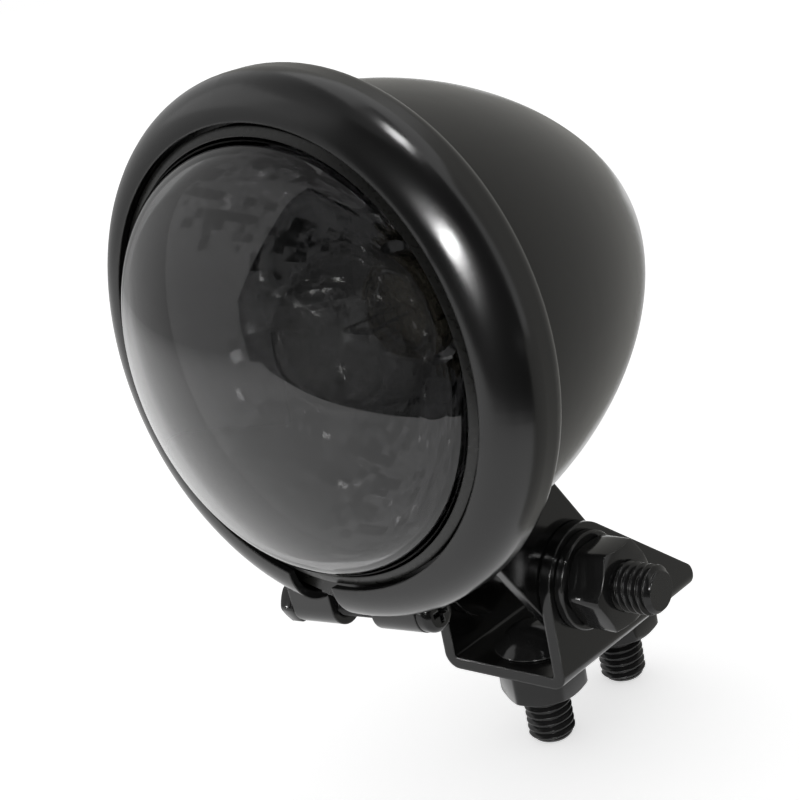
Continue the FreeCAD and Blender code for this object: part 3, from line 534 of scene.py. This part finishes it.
def stud(bm):
    ball = (HEAD_RADIUS * HEAD_RADIUS + HEAD_HEIGHT * HEAD_HEIGHT) / (2.0 * HEAD_HEIGHT)
    profile = [(STUD_CORE, STUD_NECK), (STUD_CORE, 0.0)]
    profile += [(HEAD_RADIUS - 0.15, 0.0), (HEAD_RADIUS, -0.2)]
    for i in range(1, 12):
        turn = math.asin(HEAD_RADIUS / ball) * (1.0 - i / 12.0)
        profile.append((ball * math.sin(turn), ball - HEAD_HEIGHT - ball * math.cos(turn)))
    lathe(bm, profile)
    thread(bm, THREAD, PITCH, STUD_NECK - 0.1, STUD_END, THREAD_POINT)


def nut(bm):
    hex_block(bm, NUT_FLATS, NUT_HEIGHT, NUT_BORE, True)


for label, along in (("front", -STUD_OFFSET), ("rear", STUD_OFFSET)):
    below = Matrix.Translation((0.0, along, BASE_TOP)) @ FLIP
    under = Matrix.Translation((0.0, along, 0.0))
    add_piece(label + "_stud", stud, THREADED_STEEL, "bracket",
              label + "_stud_bolt", below)
    add_piece(label + "_nut", nut, PLAIN_STEEL, "bracket",
              label + "_stud_nut", under)

# Tilt bolt through both walls, with a washer at each side and a nut
BOLT_HEAD = 5.3
SHANK_END = 30.0
BOLT_END = 40.7
WASHER_BORE = 4.1
WASHER_RADIUS = 8.0


def washer(bm):
    section = [(WASHER_BORE, 0.15), (WASHER_BORE + 0.15, 0.0)]
    section += [(WASHER_RADIUS - 0.25, 0.0), (WASHER_RADIUS, 0.2)]
    section += [(WASHER_RADIUS, WASHER - 0.2), (WASHER_RADIUS - 0.25, WASHER)]
    section += [(WASHER_BORE + 0.15, WASHER), (WASHER_BORE, WASHER - 0.15)]
    lathe_ring(bm, section)


def pivot_bolt(bm):
    hex_block(bm, NUT_FLATS, BOLT_HEAD, 0.0, False)
    bmesh.ops.rotate(bm, verts=bm.verts, matrix=Matrix.Rotation(math.pi, 3, "X"))
    lathe(bm, [(THREAD - 0.1, -0.5), (THREAD, 0.0), (THREAD, SHANK_END),
               (THREAD - 0.6, SHANK_END + 0.4)])
    thread(bm, THREAD, PITCH, SHANK_END + 0.2, BOLT_END, THREAD_POINT)


for name, make, looks, node, along in (
        ("tilt_bolt", pivot_bolt, THREADED_STEEL, "pivot_bolt", -WALL_OUT - WASHER),
        ("tilt_nut", nut, PLAIN_STEEL, "pivot_nut", WALL_OUT + WASHER),
        ("head_washer", washer, PLAIN_STEEL, "pivot_head_washer", -WALL_OUT - WASHER),
        ("nut_washer", washer, PLAIN_STEEL, "pivot_nut_washer", WALL_OUT)):
    on_pivot = Matrix.Translation((along, PIVOT.y, PIVOT.z)) @ TO_RIGHT
    add_piece(name, make, looks, "bracket", node, on_pivot)

# Bezel clamp: threaded screw with a cross recess, and its nut
CLAMP_R = 1.75
CLAMP_PITCH = 0.6
CLAMP_LENGTH = 30.1
CLAMP_POINT = 0.4
CLAMP_NUT = 2.8
CLAMP_NUT_FLATS = 6.0
CLAMP_NUT_BORE = 1.55
CLAMP_DROP = -41.0
CLAMP_BACK = 3.0
CLAMP_SWING = math.radians(-5.0)
LONG_END = 5.45
SHORT_END = 20.45
SCREW_HEAD = 3.0
SCREW_EDGE = 1.2
CROSS_SIZE = (3.6, 0.9, 2.0)
CROSS_HEIGHT = 1.9


def clamp_spot(along):
    """Matrix that stands a piece made along +Z on the clamp's axis."""
    x = along * math.cos(CLAMP_SWING) + CLAMP_DROP * math.sin(CLAMP_SWING)
    z = LAMP.z + CLAMP_DROP * math.cos(CLAMP_SWING) - along * math.sin(CLAMP_SWING)
    turned = Matrix.Rotation(CLAMP_SWING + math.pi / 2.0, 4, "Y")
    return Matrix.Translation((x, LAMP.y + CLAMP_BACK, z)) @ turned


def clamp_screw(bm):
    profile = [(1.5, -0.4), (1.5, 0.0)]
    profile += [(SCREW_HEAD - 0.15, 0.0), (SCREW_HEAD, 0.15), (SCREW_HEAD, SCREW_EDGE)]
    for i in range(1, 9):
        turn = math.radians(90.0 * i / 8.0)
        r = SCREW_HEAD - SCREW_EDGE + SCREW_EDGE * math.cos(turn)
        profile.append((r, SCREW_EDGE + SCREW_EDGE * math.sin(turn)))
    lathe(bm, profile)
    thread(bm, CLAMP_R, CLAMP_PITCH, 0.0, CLAMP_LENGTH, CLAMP_POINT, 36)
    shaft = []
    for vert in bm.verts:
        if any(face.material_index == THREAD_LOOK for face in vert.link_faces):
            shaft.append(vert)
    bmesh.ops.rotate(bm, verts=shaft, matrix=Matrix.Rotation(math.pi, 3, "X"))


def clamp_nut(bm):
    hex_block(bm, CLAMP_NUT_FLATS, CLAMP_NUT, CLAMP_NUT_BORE, True)


def cross_cutter(bm):
    """Tapering cross that bites into the screw's head."""
    for turned in (0.0, math.pi / 2.0):
        bar = bmesh.ops.create_cube(bm, size=1.0)["verts"]
        bmesh.ops.scale(bm, vec=CROSS_SIZE, verts=bar)
        for vert in bar:
            if vert.co.z < 0.0:
                vert.co.x *= 0.55
                vert.co.y *= 0.75
        bmesh.ops.rotate(bm, verts=bar, matrix=Matrix.Rotation(turned, 3, "Z"))
        bmesh.ops.translate(bm, vec=(0.0, 0.0, CROSS_HEIGHT), verts=bar)


def carve(piece, make, place):
    """Cuts a shape out of a piece and keeps the cut mesh."""
    bm = bmesh.new()
    make(bm)
    bmesh.ops.transform(bm, matrix=Matrix.Scale(MM, 4) @ place, verts=bm.verts)
    tool_mesh = bpy.data.meshes.new("tool")
    bm.to_mesh(tool_mesh)
    bm.free()
    tool = bpy.data.objects.new("tool", tool_mesh)
    bpy.context.collection.objects.link(tool)
    modifier = piece.modifiers.new("carve", "BOOLEAN")
    modifier.object = tool
    modifier.solver = "EXACT"
    modifier.use_self = True
    cut = piece.evaluated_get(bpy.context.evaluated_depsgraph_get())
    shaped = bpy.data.meshes.new_from_object(cut)
    piece.modifiers.clear()
    piece.data = shaped
    bpy.data.objects.remove(tool)


screw = add_piece("clamp_screw", clamp_screw, THREADED_STEEL, "lamp",
                  "bezel_clamp_screw", clamp_spot(LONG_END))
carve(screw, cross_cutter, clamp_spot(LONG_END))
add_piece("clamp_nut", clamp_nut, PLAIN_STEEL, "lamp", "bezel_clamp_nut",
          clamp_spot(-(SHORT_END + CLAMP_NUT)))

# Bulb: hollow globe, bayonet cap and filament on its two wires
GLOBE_MIDDLE = 8.8
GLOBE_OUTSIDE = 12.45
GLOBE_INSIDE = 11.8
CAP_RADIUS = 7.6
CAP_PIN = 29.7
CONTACT_OFFSET = 3.6
FILAMENT_Z = 9.4
FILAMENT_HALF = 2.9
COIL_RADIUS = 0.42
COIL_STEPS = 160


def globe(bm):
    outer = bend(0.0, GLOBE_MIDDLE, GLOBE_OUTSIDE, 0.0, 148.0, 24) + [(6.5, 19.6), (6.5, 20.1)]
    inner = [(5.9, 20.1), (5.9, 19.2)] + bend(0.0, GLOBE_MIDDLE, GLOBE_INSIDE, 150.0, 0.0, 24)
    lathe(bm, outer + inner)


def cap(bm):
    groove = CAP_RADIUS - 0.25
    lathe(bm, [(5.8, 20.2), (7.3, 20.2), (CAP_RADIUS, 20.5), (CAP_RADIUS, 24.0),
               (groove, 24.3), (groove, 25.0), (CAP_RADIUS, 25.3),
               (CAP_RADIUS, 36.4), (7.1, 36.9), (5.5, 36.9)])
    for side in (-1.0, 1.0):
        pin = lathe(bm, [(1.0, 7.0), (1.0, 8.5), (0.8, 8.7)])
        bmesh.ops.rotate(bm, verts=pin, matrix=Matrix.Rotation(side * math.pi / 2.0, 3, "Y"))
        bmesh.ops.translate(bm, verts=pin, vec=(0.0, 0.0, CAP_PIN))
        contact = lathe(bm, [(1.6, 36.5), (1.9, 37.0), (1.9, 37.5), (1.6, 37.7)])
        bmesh.ops.translate(bm, verts=contact, vec=(side * CONTACT_OFFSET, 0.0, 0.0))


def filament(bm):
    for side in (-1.0, 1.0):
        tube(bm, [Vector((side * 2.2, 0.0, 20.6)), Vector((side * 2.4, 0.0, 15.0)),
                  Vector((side * 3.0, 0.0, 10.2)), Vector((side * FILAMENT_HALF, 0.0, FILAMENT_Z))],
             0.22, 8)
    coil = []
    for i in range(COIL_STEPS + 1):
        turn = 2.0 * math.pi * i / 10.0
        x = -FILAMENT_HALF + 2.0 * FILAMENT_HALF * i / COIL_STEPS
        coil.append(Vector((x, COIL_RADIUS * math.cos(turn),
                            FILAMENT_Z + COIL_RADIUS * math.sin(turn))))
    tube(bm, coil, 0.09, 5)


# Lens, its rubber seal and the faceted reflector
CROWN_RADIUS = 54.76
CROWN_MIDDLE = 36.56
SHOULDER_RADIUS = 9.0
SHOULDER_R = 23.0
SHOULDER_Z = -3.0
LENS_WALL = 2.0
FLANGE_RADIUS = 38.0
FACETS = 90
FACET_RINGS = 18
FACET_JOG = 0.28
JOG_COLUMN = 12.9898
JOG_ROW = 78.233
JOG_SPREAD = 43758.5453
MIRROR_FRONT = 0.8
MIRROR_DEPTH = 24.0
MIRROR_MOUTH = 31.0
MIRROR_THROAT = 10.4
MIRROR_HOLE = 8.55
MIRROR_WALL = 1.0
RIM_WALL = 0.6
OUTSIDE_STEPS = 12


def lens_shell(bm):
    """Dome of a crown arc and a shoulder arc on a flat flange, with a constant wall."""
    meet = math.degrees(math.asin(SHOULDER_R / (CROWN_RADIUS - SHOULDER_RADIUS)))
    outer = bend(0.0, CROWN_MIDDLE, CROWN_RADIUS, 0.0, meet, 34)
    outer += bend(SHOULDER_R, SHOULDER_Z, SHOULDER_RADIUS, meet, 90.0, 18)[1:]
    flange = [(32.0, -2.35), (32.15, -2.2), (FLANGE_RADIUS - 0.2, -2.2), (FLANGE_RADIUS, -2.0)]
    flange += [(FLANGE_RADIUS, -0.4), (FLANGE_RADIUS - 0.2, -0.2), (30.0, -0.2)]
    inner = bend(SHOULDER_R, SHOULDER_Z, SHOULDER_RADIUS - LENS_WALL, 90.0, meet, 14)
    inner += bend(0.0, CROWN_MIDDLE, CROWN_RADIUS - LENS_WALL, meet, 0.0, 34)[1:]
    lathe(bm, outer + flange + inner, FINE_ROUND)


def seal_collar(bm):
    """Rubber seal: a thin ring on the lens flange, and a collar whose front slopes down outwards."""
    section = [(32.3, -2.2), (32.3, -3.4), (31.8, -5.5), (31.86, -5.65), (32.0, -5.7), (32.16, -5.66)]
    section += [(33.1, -5.3), (33.24, -5.2), (33.29, -5.05), (33.29, -3.0), (36.8, -3.0), (36.8, -2.2)]
    lathe_ring(bm, section, FINE_ROUND)


def bowl_radius(share):
    """Radius of the reflector's parabola at a share of its depth."""
    return math.sqrt(MIRROR_MOUTH ** 2 - (MIRROR_MOUTH ** 2 - MIRROR_THROAT ** 2) * share)


def jog(column, row):
    """How far a corner of the facets stands in from the parabola; none at the mouth and throat."""
    if row in (0, FACET_RINGS):
        return 0.0
    return FACET_JOG * (math.sin(JOG_COLUMN * column + JOG_ROW * row) * JOG_SPREAD % 1.0)


def facet_mirror(bm):
    """Metallised bowl: rings of flat facets inside, plain outside, with rim and throat plate."""
    rings = []
    for row in range(FACET_RINGS + 1):
        share = row / FACET_RINGS
        radii = [bowl_radius(share) - jog(column, row) for column in range(FACETS)]
        rings.append(add_ring(bm, radii, MIRROR_FRONT + MIRROR_DEPTH * share, FACETS))
    throat = MIRROR_FRONT + MIRROR_DEPTH
    outside = [(MIRROR_HOLE, throat), (MIRROR_HOLE, throat + MIRROR_WALL)]
    outside += [(MIRROR_THROAT + MIRROR_WALL, throat + MIRROR_WALL)]
    for step in range(OUTSIDE_STEPS, 0, -1):
        share = step / OUTSIDE_STEPS
        outside.append((bowl_radius(share) + MIRROR_WALL, MIRROR_FRONT + MIRROR_DEPTH * share))
    outside += [(MIRROR_MOUTH + 0.9, MIRROR_FRONT + RIM_WALL)]
    outside += [(FLANGE_RADIUS, MIRROR_FRONT + RIM_WALL), (FLANGE_RADIUS, MIRROR_FRONT)]
    rings += [add_ring(bm, r, z, FACETS) for r, z in outside]
    join_rings(bm, rings + [rings[0]])


lamp_spot = Matrix.Translation(LAMP) @ TO_BACK
add_piece("facet_bowl", facet_mirror, (mirrored_plastic,), "lamp", "reflector",
          lamp_spot, 1.0)
for name, make, look, node, slot in (
        ("smoke_dome", lens_shell, smoke, "lens", "smoke_lens"),
        ("seal_collar", seal_collar, seal_rubber, "lens_seal", "black_rubber"),
        ("bulb_globe", globe, bulb_glass, "bulb", "bulb_glass"),
        ("bulb_cap", cap, brass, None, "brass_socket"),
        ("bulb_filament", filament, spring_steel, None, "spring_steel")):
    add_piece(name, make, (look,), "lamp", node, lamp_spot)

# Studio: white floor, cards that only reflections show, soft lamps; in metres
MIDDLE = Vector((0.0, -0.04, 0.06))
FLOOR_HEIGHT = FLOOR_Z * MM - 0.0002
FLOOR_REACH = 6.0
FLOOR_LIFT = 0.56
WHITE = (1.0, 1.0, 1.0, 1.0)
WARM = (1.0, 0.99, 0.94, 1.0)
EDGE_KNEE = 9.0
WALL_STEPS = 12
SECTOR_STEPS = 8


def seen_mask(tree):
    """1 for rays of the camera, of mirrors and through glass."""
    path = tree.nodes.new("ShaderNodeLightPath")
    mask = path.outputs["Is Camera Ray"]
    for name in ("Is Glossy Ray", "Is Transmission Ray"):
        either = tree.nodes.new("ShaderNodeMath")
        either.operation = "MAXIMUM"
        tree.links.new(mask, either.inputs[0])
        tree.links.new(path.outputs[name], either.inputs[1])
        mask = either.outputs[0]
    return mask


def floor_look():
    """White floor; a faint own light for camera and mirrors lifts it to white, shadows stay."""
    look = Look("floor_white")
    look.set(Base_Color=(0.95, 0.95, 0.95, 1.0), Roughness=0.9, Specular_IOR_Level=0.0)
    look.set(Emission_Color=WHITE)
    lift = look.math("MULTIPLY", seen_mask(look.tree), FLOOR_LIFT)
    look.link(lift, look.shader.inputs["Emission Strength"])
    return look.material


def own_light(name):
    """A look that only glows, and the node of its glow."""
    look = Look(name)
    look.tree.nodes.remove(look.shader)
    glow = look.node("ShaderNodeEmission")
    look.link(glow.outputs[0], look.tree.nodes["Material Output"].inputs["Surface"])
    return look, glow


def glow_look(name, strength, tone=WHITE):
    """The same glow all over."""
    look, glow = own_light(name)
    glow.inputs["Strength"].default_value = strength
    glow.inputs["Color"].default_value = tone
    return look.material


def dark_look(name, level, inside_low, inside_high):
    """Nearly black cloth; the reflector behind the lens sees lighter and darker patches of it."""
    look, glow = own_light(name)
    through = look.node("ShaderNodeLightPath").outputs["Is Transmission Ray"]
    patches = look.span(look.noise(2.6, 2.0), 0.40, 0.60, inside_low, inside_high)
    inside = look.math("MULTIPLY", through, patches)
    look.link(look.math("ADD", inside, level), glow.inputs["Strength"])
    return look.material


def tent_look(name, steps):
    """Cloth whose brightness changes with its elevation from the object."""
    look, glow = own_light(name)
    outward = look.node("ShaderNodeVectorMath", operation="SUBTRACT")
    look.link(look.node("ShaderNodeNewGeometry").outputs["Position"], outward.inputs[0])
    outward.inputs[1].default_value = MIDDLE
    unit = look.node("ShaderNodeVectorMath", operation="NORMALIZE")
    look.link(outward.outputs["Vector"], unit.inputs[0])
    split = look.node("ShaderNodeSeparateXYZ")
    look.link(unit.outputs["Vector"], split.inputs[0])
    ramp = look.node("ShaderNodeValToRGB")
    ramp.color_ramp.interpolation = "EASE"
    look.link(split.outputs["Z"], ramp.inputs["Fac"])
    while len(ramp.color_ramp.elements) < len(steps):
        ramp.color_ramp.elements.new(0.5)
    for stop, (elevation, level) in zip(ramp.color_ramp.elements, steps):
        stop.position = math.sin(math.radians(elevation))
        stop.color = (level, level, level, 1.0)
    look.link(ramp.outputs["Color"], glow.inputs["Color"])
    return look.material


def fade_look(name, near, far, first, last):
    """Own light that falls with distance from the object."""
    look, glow = own_light(name)
    away = look.node("ShaderNodeVectorMath", operation="DISTANCE")
    look.link(look.node("ShaderNodeNewGeometry").outputs["Position"], away.inputs[0])
    away.inputs[1].default_value = MIDDLE
    look.link(look.span(away.outputs["Value"], near, far, first, last), glow.inputs["Strength"])
    return look.material


def direction(azimuth, elevation):
    """Unit vector; azimuth 0 points to the front of the lens, 90 to the right."""
    a = math.radians(azimuth)
    e = math.radians(elevation)
    return Vector((math.sin(a) * math.cos(e), -math.cos(a) * math.cos(e), math.sin(e)))


def sheet_of(name, corners, look, faces=None):
    """A stage piece from its points: one flat face, or the faces given."""
    made = bpy.data.meshes.new(name)
    made.from_pydata(corners, [], faces or [tuple(range(len(corners)))])
    made.materials.append(look)
    piece = bpy.data.objects.new(name, made)
    bpy.context.collection.objects.link(piece)
    return piece


def card(name, corners, look, faces=None):
    """A studio card that only shows in reflections; the camera looks past it."""
    piece = sheet_of(name, corners, look, faces)
    piece.visible_camera = False
    piece.visible_diffuse = False
    piece.visible_shadow = False
    return piece


def wall(name, first, last, low, high, distance, look, lean_up=0.0, lean_down=0.0):
    """A curved card between two azimuths and two elevations; its first edge may lean from a knee."""
    points = []
    faces = []
    for row in range(WALL_STEPS + 1):
        elevation = low + (high - low) * row / WALL_STEPS
        lean = lean_up if elevation > EDGE_KNEE else lean_down
        start = first + lean * abs(elevation - EDGE_KNEE)
        for column in range(WALL_STEPS + 1):
            azimuth = start + (last - start) * column / WALL_STEPS
            points.append(MIDDLE + direction(azimuth, elevation) * distance)
    for row in range(WALL_STEPS):
        for column in range(WALL_STEPS):
            corner = row * (WALL_STEPS + 1) + column
            above = corner + WALL_STEPS + 1
            faces.append((corner, corner + 1, above + 1, above))
    return card(name, points, look, faces)


def sector(near, far, first, last):
    """Points of a ring sector round the object, in the plane of the floor."""
    turns = []
    for i in range(SECTOR_STEPS + 1):
        turns.append(math.radians(first + (last - first) * i / SECTOR_STEPS))
    points = []
    for distance, order in ((near, turns), (far, turns[::-1])):
        for turn in order:
            points.append((MIDDLE.x + distance * math.sin(turn), MIDDLE.y - distance * math.cos(turn)))
    return points


def on_floor(points, lift):
    return [(x, y, FLOOR_HEIGHT + lift) for x, y in points]


FLOOR_CORNERS = [(-FLOOR_REACH, -FLOOR_REACH), (FLOOR_REACH, -FLOOR_REACH),
                 (FLOOR_REACH, FLOOR_REACH), (-FLOOR_REACH, FLOOR_REACH)]
DARK_FLOOR = [(-0.48, -0.87), (-0.23, -0.54), (-0.06, -0.34), (0.05, -0.23), (0.09, -0.20),
              (0.145, -0.10), (0.145, -0.02), (0.60, 0.05), (0.9, -1.0), (-0.4, -1.4)]
REAR_FLOOR = [(-0.01, 0.05), (0.016, 0.012), (0.05, -0.03), (0.14, -0.03), (0.9, 0.05),
              (0.9, 1.2), (-0.42, 1.2)]
DARK_NEAR = [(-0.08, 0.105), (-0.07, 0.075), (-0.05, 0.055), (-0.015, 0.038), (0.045, 0.013),
             (0.08, 0.0), (0.08, 0.105)]
NEAR_Y = -0.18
NEAR_WALL = 0.75
FAR_WALL = 0.9
TENT_STEPS = ((0, 0.52), (24, 0.68), (44, 0.62), (62, 0.42), (84, 0.25))

sheet_of("floor", on_floor(FLOOR_CORNERS, 0.0), floor_look())
dark = dark_look("dark_room", 0.002, 0.45, 1.30)
grey = glow_look("grey_wall", 0.42, WARM)
tent = tent_look("tent_cloth", TENT_STEPS)
floor_fade = fade_look("floor_fade", 0.24, 0.95, 1.12, 0.58)
card("floor_edge", on_floor(DARK_FLOOR, 0.0008), dark)
card("floor_left", on_floor(sector(0.20, 1.0, -130.0, -20.0), 0.0004), floor_fade)
card("floor_rear", on_floor(REAR_FLOOR, 0.0006), grey)
card("dark_near", [(x, NEAR_Y, z) for x, z in DARK_NEAR], dark)
wall("dark_top", -20.0, 180.0, 66.0, 89.0, NEAR_WALL, glow_look("dim_ceiling", 0.28))
wall("dark_room", -34.8, 105.0, -9.0, 66.0, NEAR_WALL, dark, 0.5, 0.19)
wall("left_wall", -125.0, 5.0, -9.0, 88.0, FAR_WALL, tent)
wall("rear_wall", 120.0, 212.0, -9.0, 45.0, FAR_WALL, grey)
wall("rear_high", 212.0, 235.0, 5.0, 45.0, FAR_WALL, grey)

# Small bright cards that only the reflector sees, through the lens
SPARKLES = 18
SPARKLE_SIZE = 0.03
SPARKLE_FAR = 0.7
SPARKLE_DROP = 0.066
SPARKLE_GLOW = 11.0
TURN_START = -10.0
TURN_STEP = 137.5
TURN_SPAN = 100.0
RISE_START = -38.0
RISE_STEP = 61.8
RISE_SPAN = 80.0
RISE_FLOOR = -6.0
sparkle = glow_look("sparkle", SPARKLE_GLOW)
for i in range(SPARKLES):
    turn = TURN_START + TURN_STEP * i % TURN_SPAN
    rise = RISE_START + RISE_STEP * i % RISE_SPAN
    far = SPARKLE_FAR
    if rise <= RISE_FLOOR:
        far = SPARKLE_DROP / math.sin(math.radians(-rise))
    aim = direction(turn, rise)
    across = aim.cross(Vector((0.0, 0.0, 1.0))).normalized() * far * SPARKLE_SIZE
    over = across.cross(aim)
    spot = MIDDLE + aim * far
    glint = card("sparkle_%d" % i, [spot - across, spot - over, spot + across, spot + over], sparkle)
    glint.visible_glossy = False

# Lamps: the lens and its seal get none of their light, so that they don't mirror them
UNLIT = ("lens", "smoke_dome", "lens_seal", "seal_collar", "floor")
painted = bpy.data.collections.new("painted")
fittings = bpy.data.collections.new("fittings")
for piece in bpy.context.scene.objects:
    if piece.type == "MESH" and piece.name not in UNLIT:
        painted.objects.link(piece)
        if any(slot.material in (sheet_enamel, black_steel) for slot in piece.material_slots):
            fittings.objects.link(piece)


def area_lamp(name, azimuth, elevation, distance, width, height, power, lit):
    data = bpy.data.lights.new(name, "AREA")
    data.shape = "RECTANGLE"
    data.size = width
    data.size_y = height
    data.energy = power
    piece = bpy.data.objects.new(name, data)
    toward = direction(azimuth, elevation)
    piece.location = MIDDLE + toward * distance
    piece.rotation_mode = "QUATERNION"
    piece.rotation_quaternion = toward.to_track_quat("Z", "Y")
    bpy.context.collection.objects.link(piece)
    piece.visible_camera = False
    piece.light_linking.receiver_collection = lit
    return piece


# Soft key, seen in the bezel's bead as one long highlight
BEAD_MIDDLE = 34.0
BEAD_RADIUS = 6.0
HIGHLIGHT = math.radians(27.4)
BEAD_TURN = math.radians(54.2)


def mirrored(turn):
    """Direction that the bezel's bead mirrors to the camera, at a turn round its section."""
    outward = Vector((math.cos(HIGHLIGHT), 0.0, math.sin(HIGHLIGHT)))
    normal = math.cos(turn) * outward + math.sin(turn) * Vector((0.0, -1.0, 0.0))
    point = LAMP + BEAD_MIDDLE * outward + BEAD_RADIUS * normal
    toward = (eye / MM - point).normalized()
    return 2.0 * toward.dot(normal) * normal - toward


key_from = mirrored(BEAD_TURN)
key_long = (mirrored(BEAD_TURN + 0.2) - mirrored(BEAD_TURN - 0.2)).normalized()
key_side = key_from.cross(key_long).normalized()
key_long = key_side.cross(key_from).normalized()
key_turn = Matrix((key_long, key_side, key_from)).transposed().to_4x4()
for name, width, height, far, power in (
        ("key", 0.31, 0.07, 0.50, 2.3),
        ("key_inner", 0.46, 0.14, 0.51, 0.9),
        ("key_outer", 0.70, 0.26, 0.52, 0.6)):
    lamp = area_lamp(name, 0.0, 0.0, far, width, height, power, painted)
    lamp.data.shape = "ELLIPSE"
    lamp.matrix_world = Matrix.Translation(MIDDLE + key_from * far) @ key_turn
area_lamp("top", 100.0, 72.0, 0.6, 0.14, 0.10, 0.8, painted)
area_lamp("fill", -65.0, 36.0, 0.8, 0.5, 0.4, 0.25, painted)
area_lamp("right_spark", 62.0, 42.0, 0.5, 0.03, 0.03, 0.35, fittings)
area_lamp("left_spark", -44.0, 4.0, 0.5, 0.04, 0.04, 0.6, fittings)

# World: white where it is seen, a plain level of light elsewhere
WORLD_LIGHT = 0.6
WORLD_SEEN = 1.0
world = bpy.data.worlds.new("world")
bpy.context.scene.world = world
world.use_nodes = True
nodes = world.node_tree.nodes
links = world.node_tree.links
nodes.clear()
pick = nodes.new("ShaderNodeMixShader")
links.new(seen_mask(world.node_tree), pick.inputs[0])
for strength, socket in ((WORLD_LIGHT, pick.inputs[1]), (WORLD_SEEN, pick.inputs[2])):
    sky = nodes.new("ShaderNodeBackground")
    sky.inputs["Color"].default_value = WHITE
    sky.inputs["Strength"].default_value = strength
    links.new(sky.outputs[0], socket)
out = nodes.new("ShaderNodeOutputWorld")
links.new(pick.outputs[0], out.inputs["Surface"])
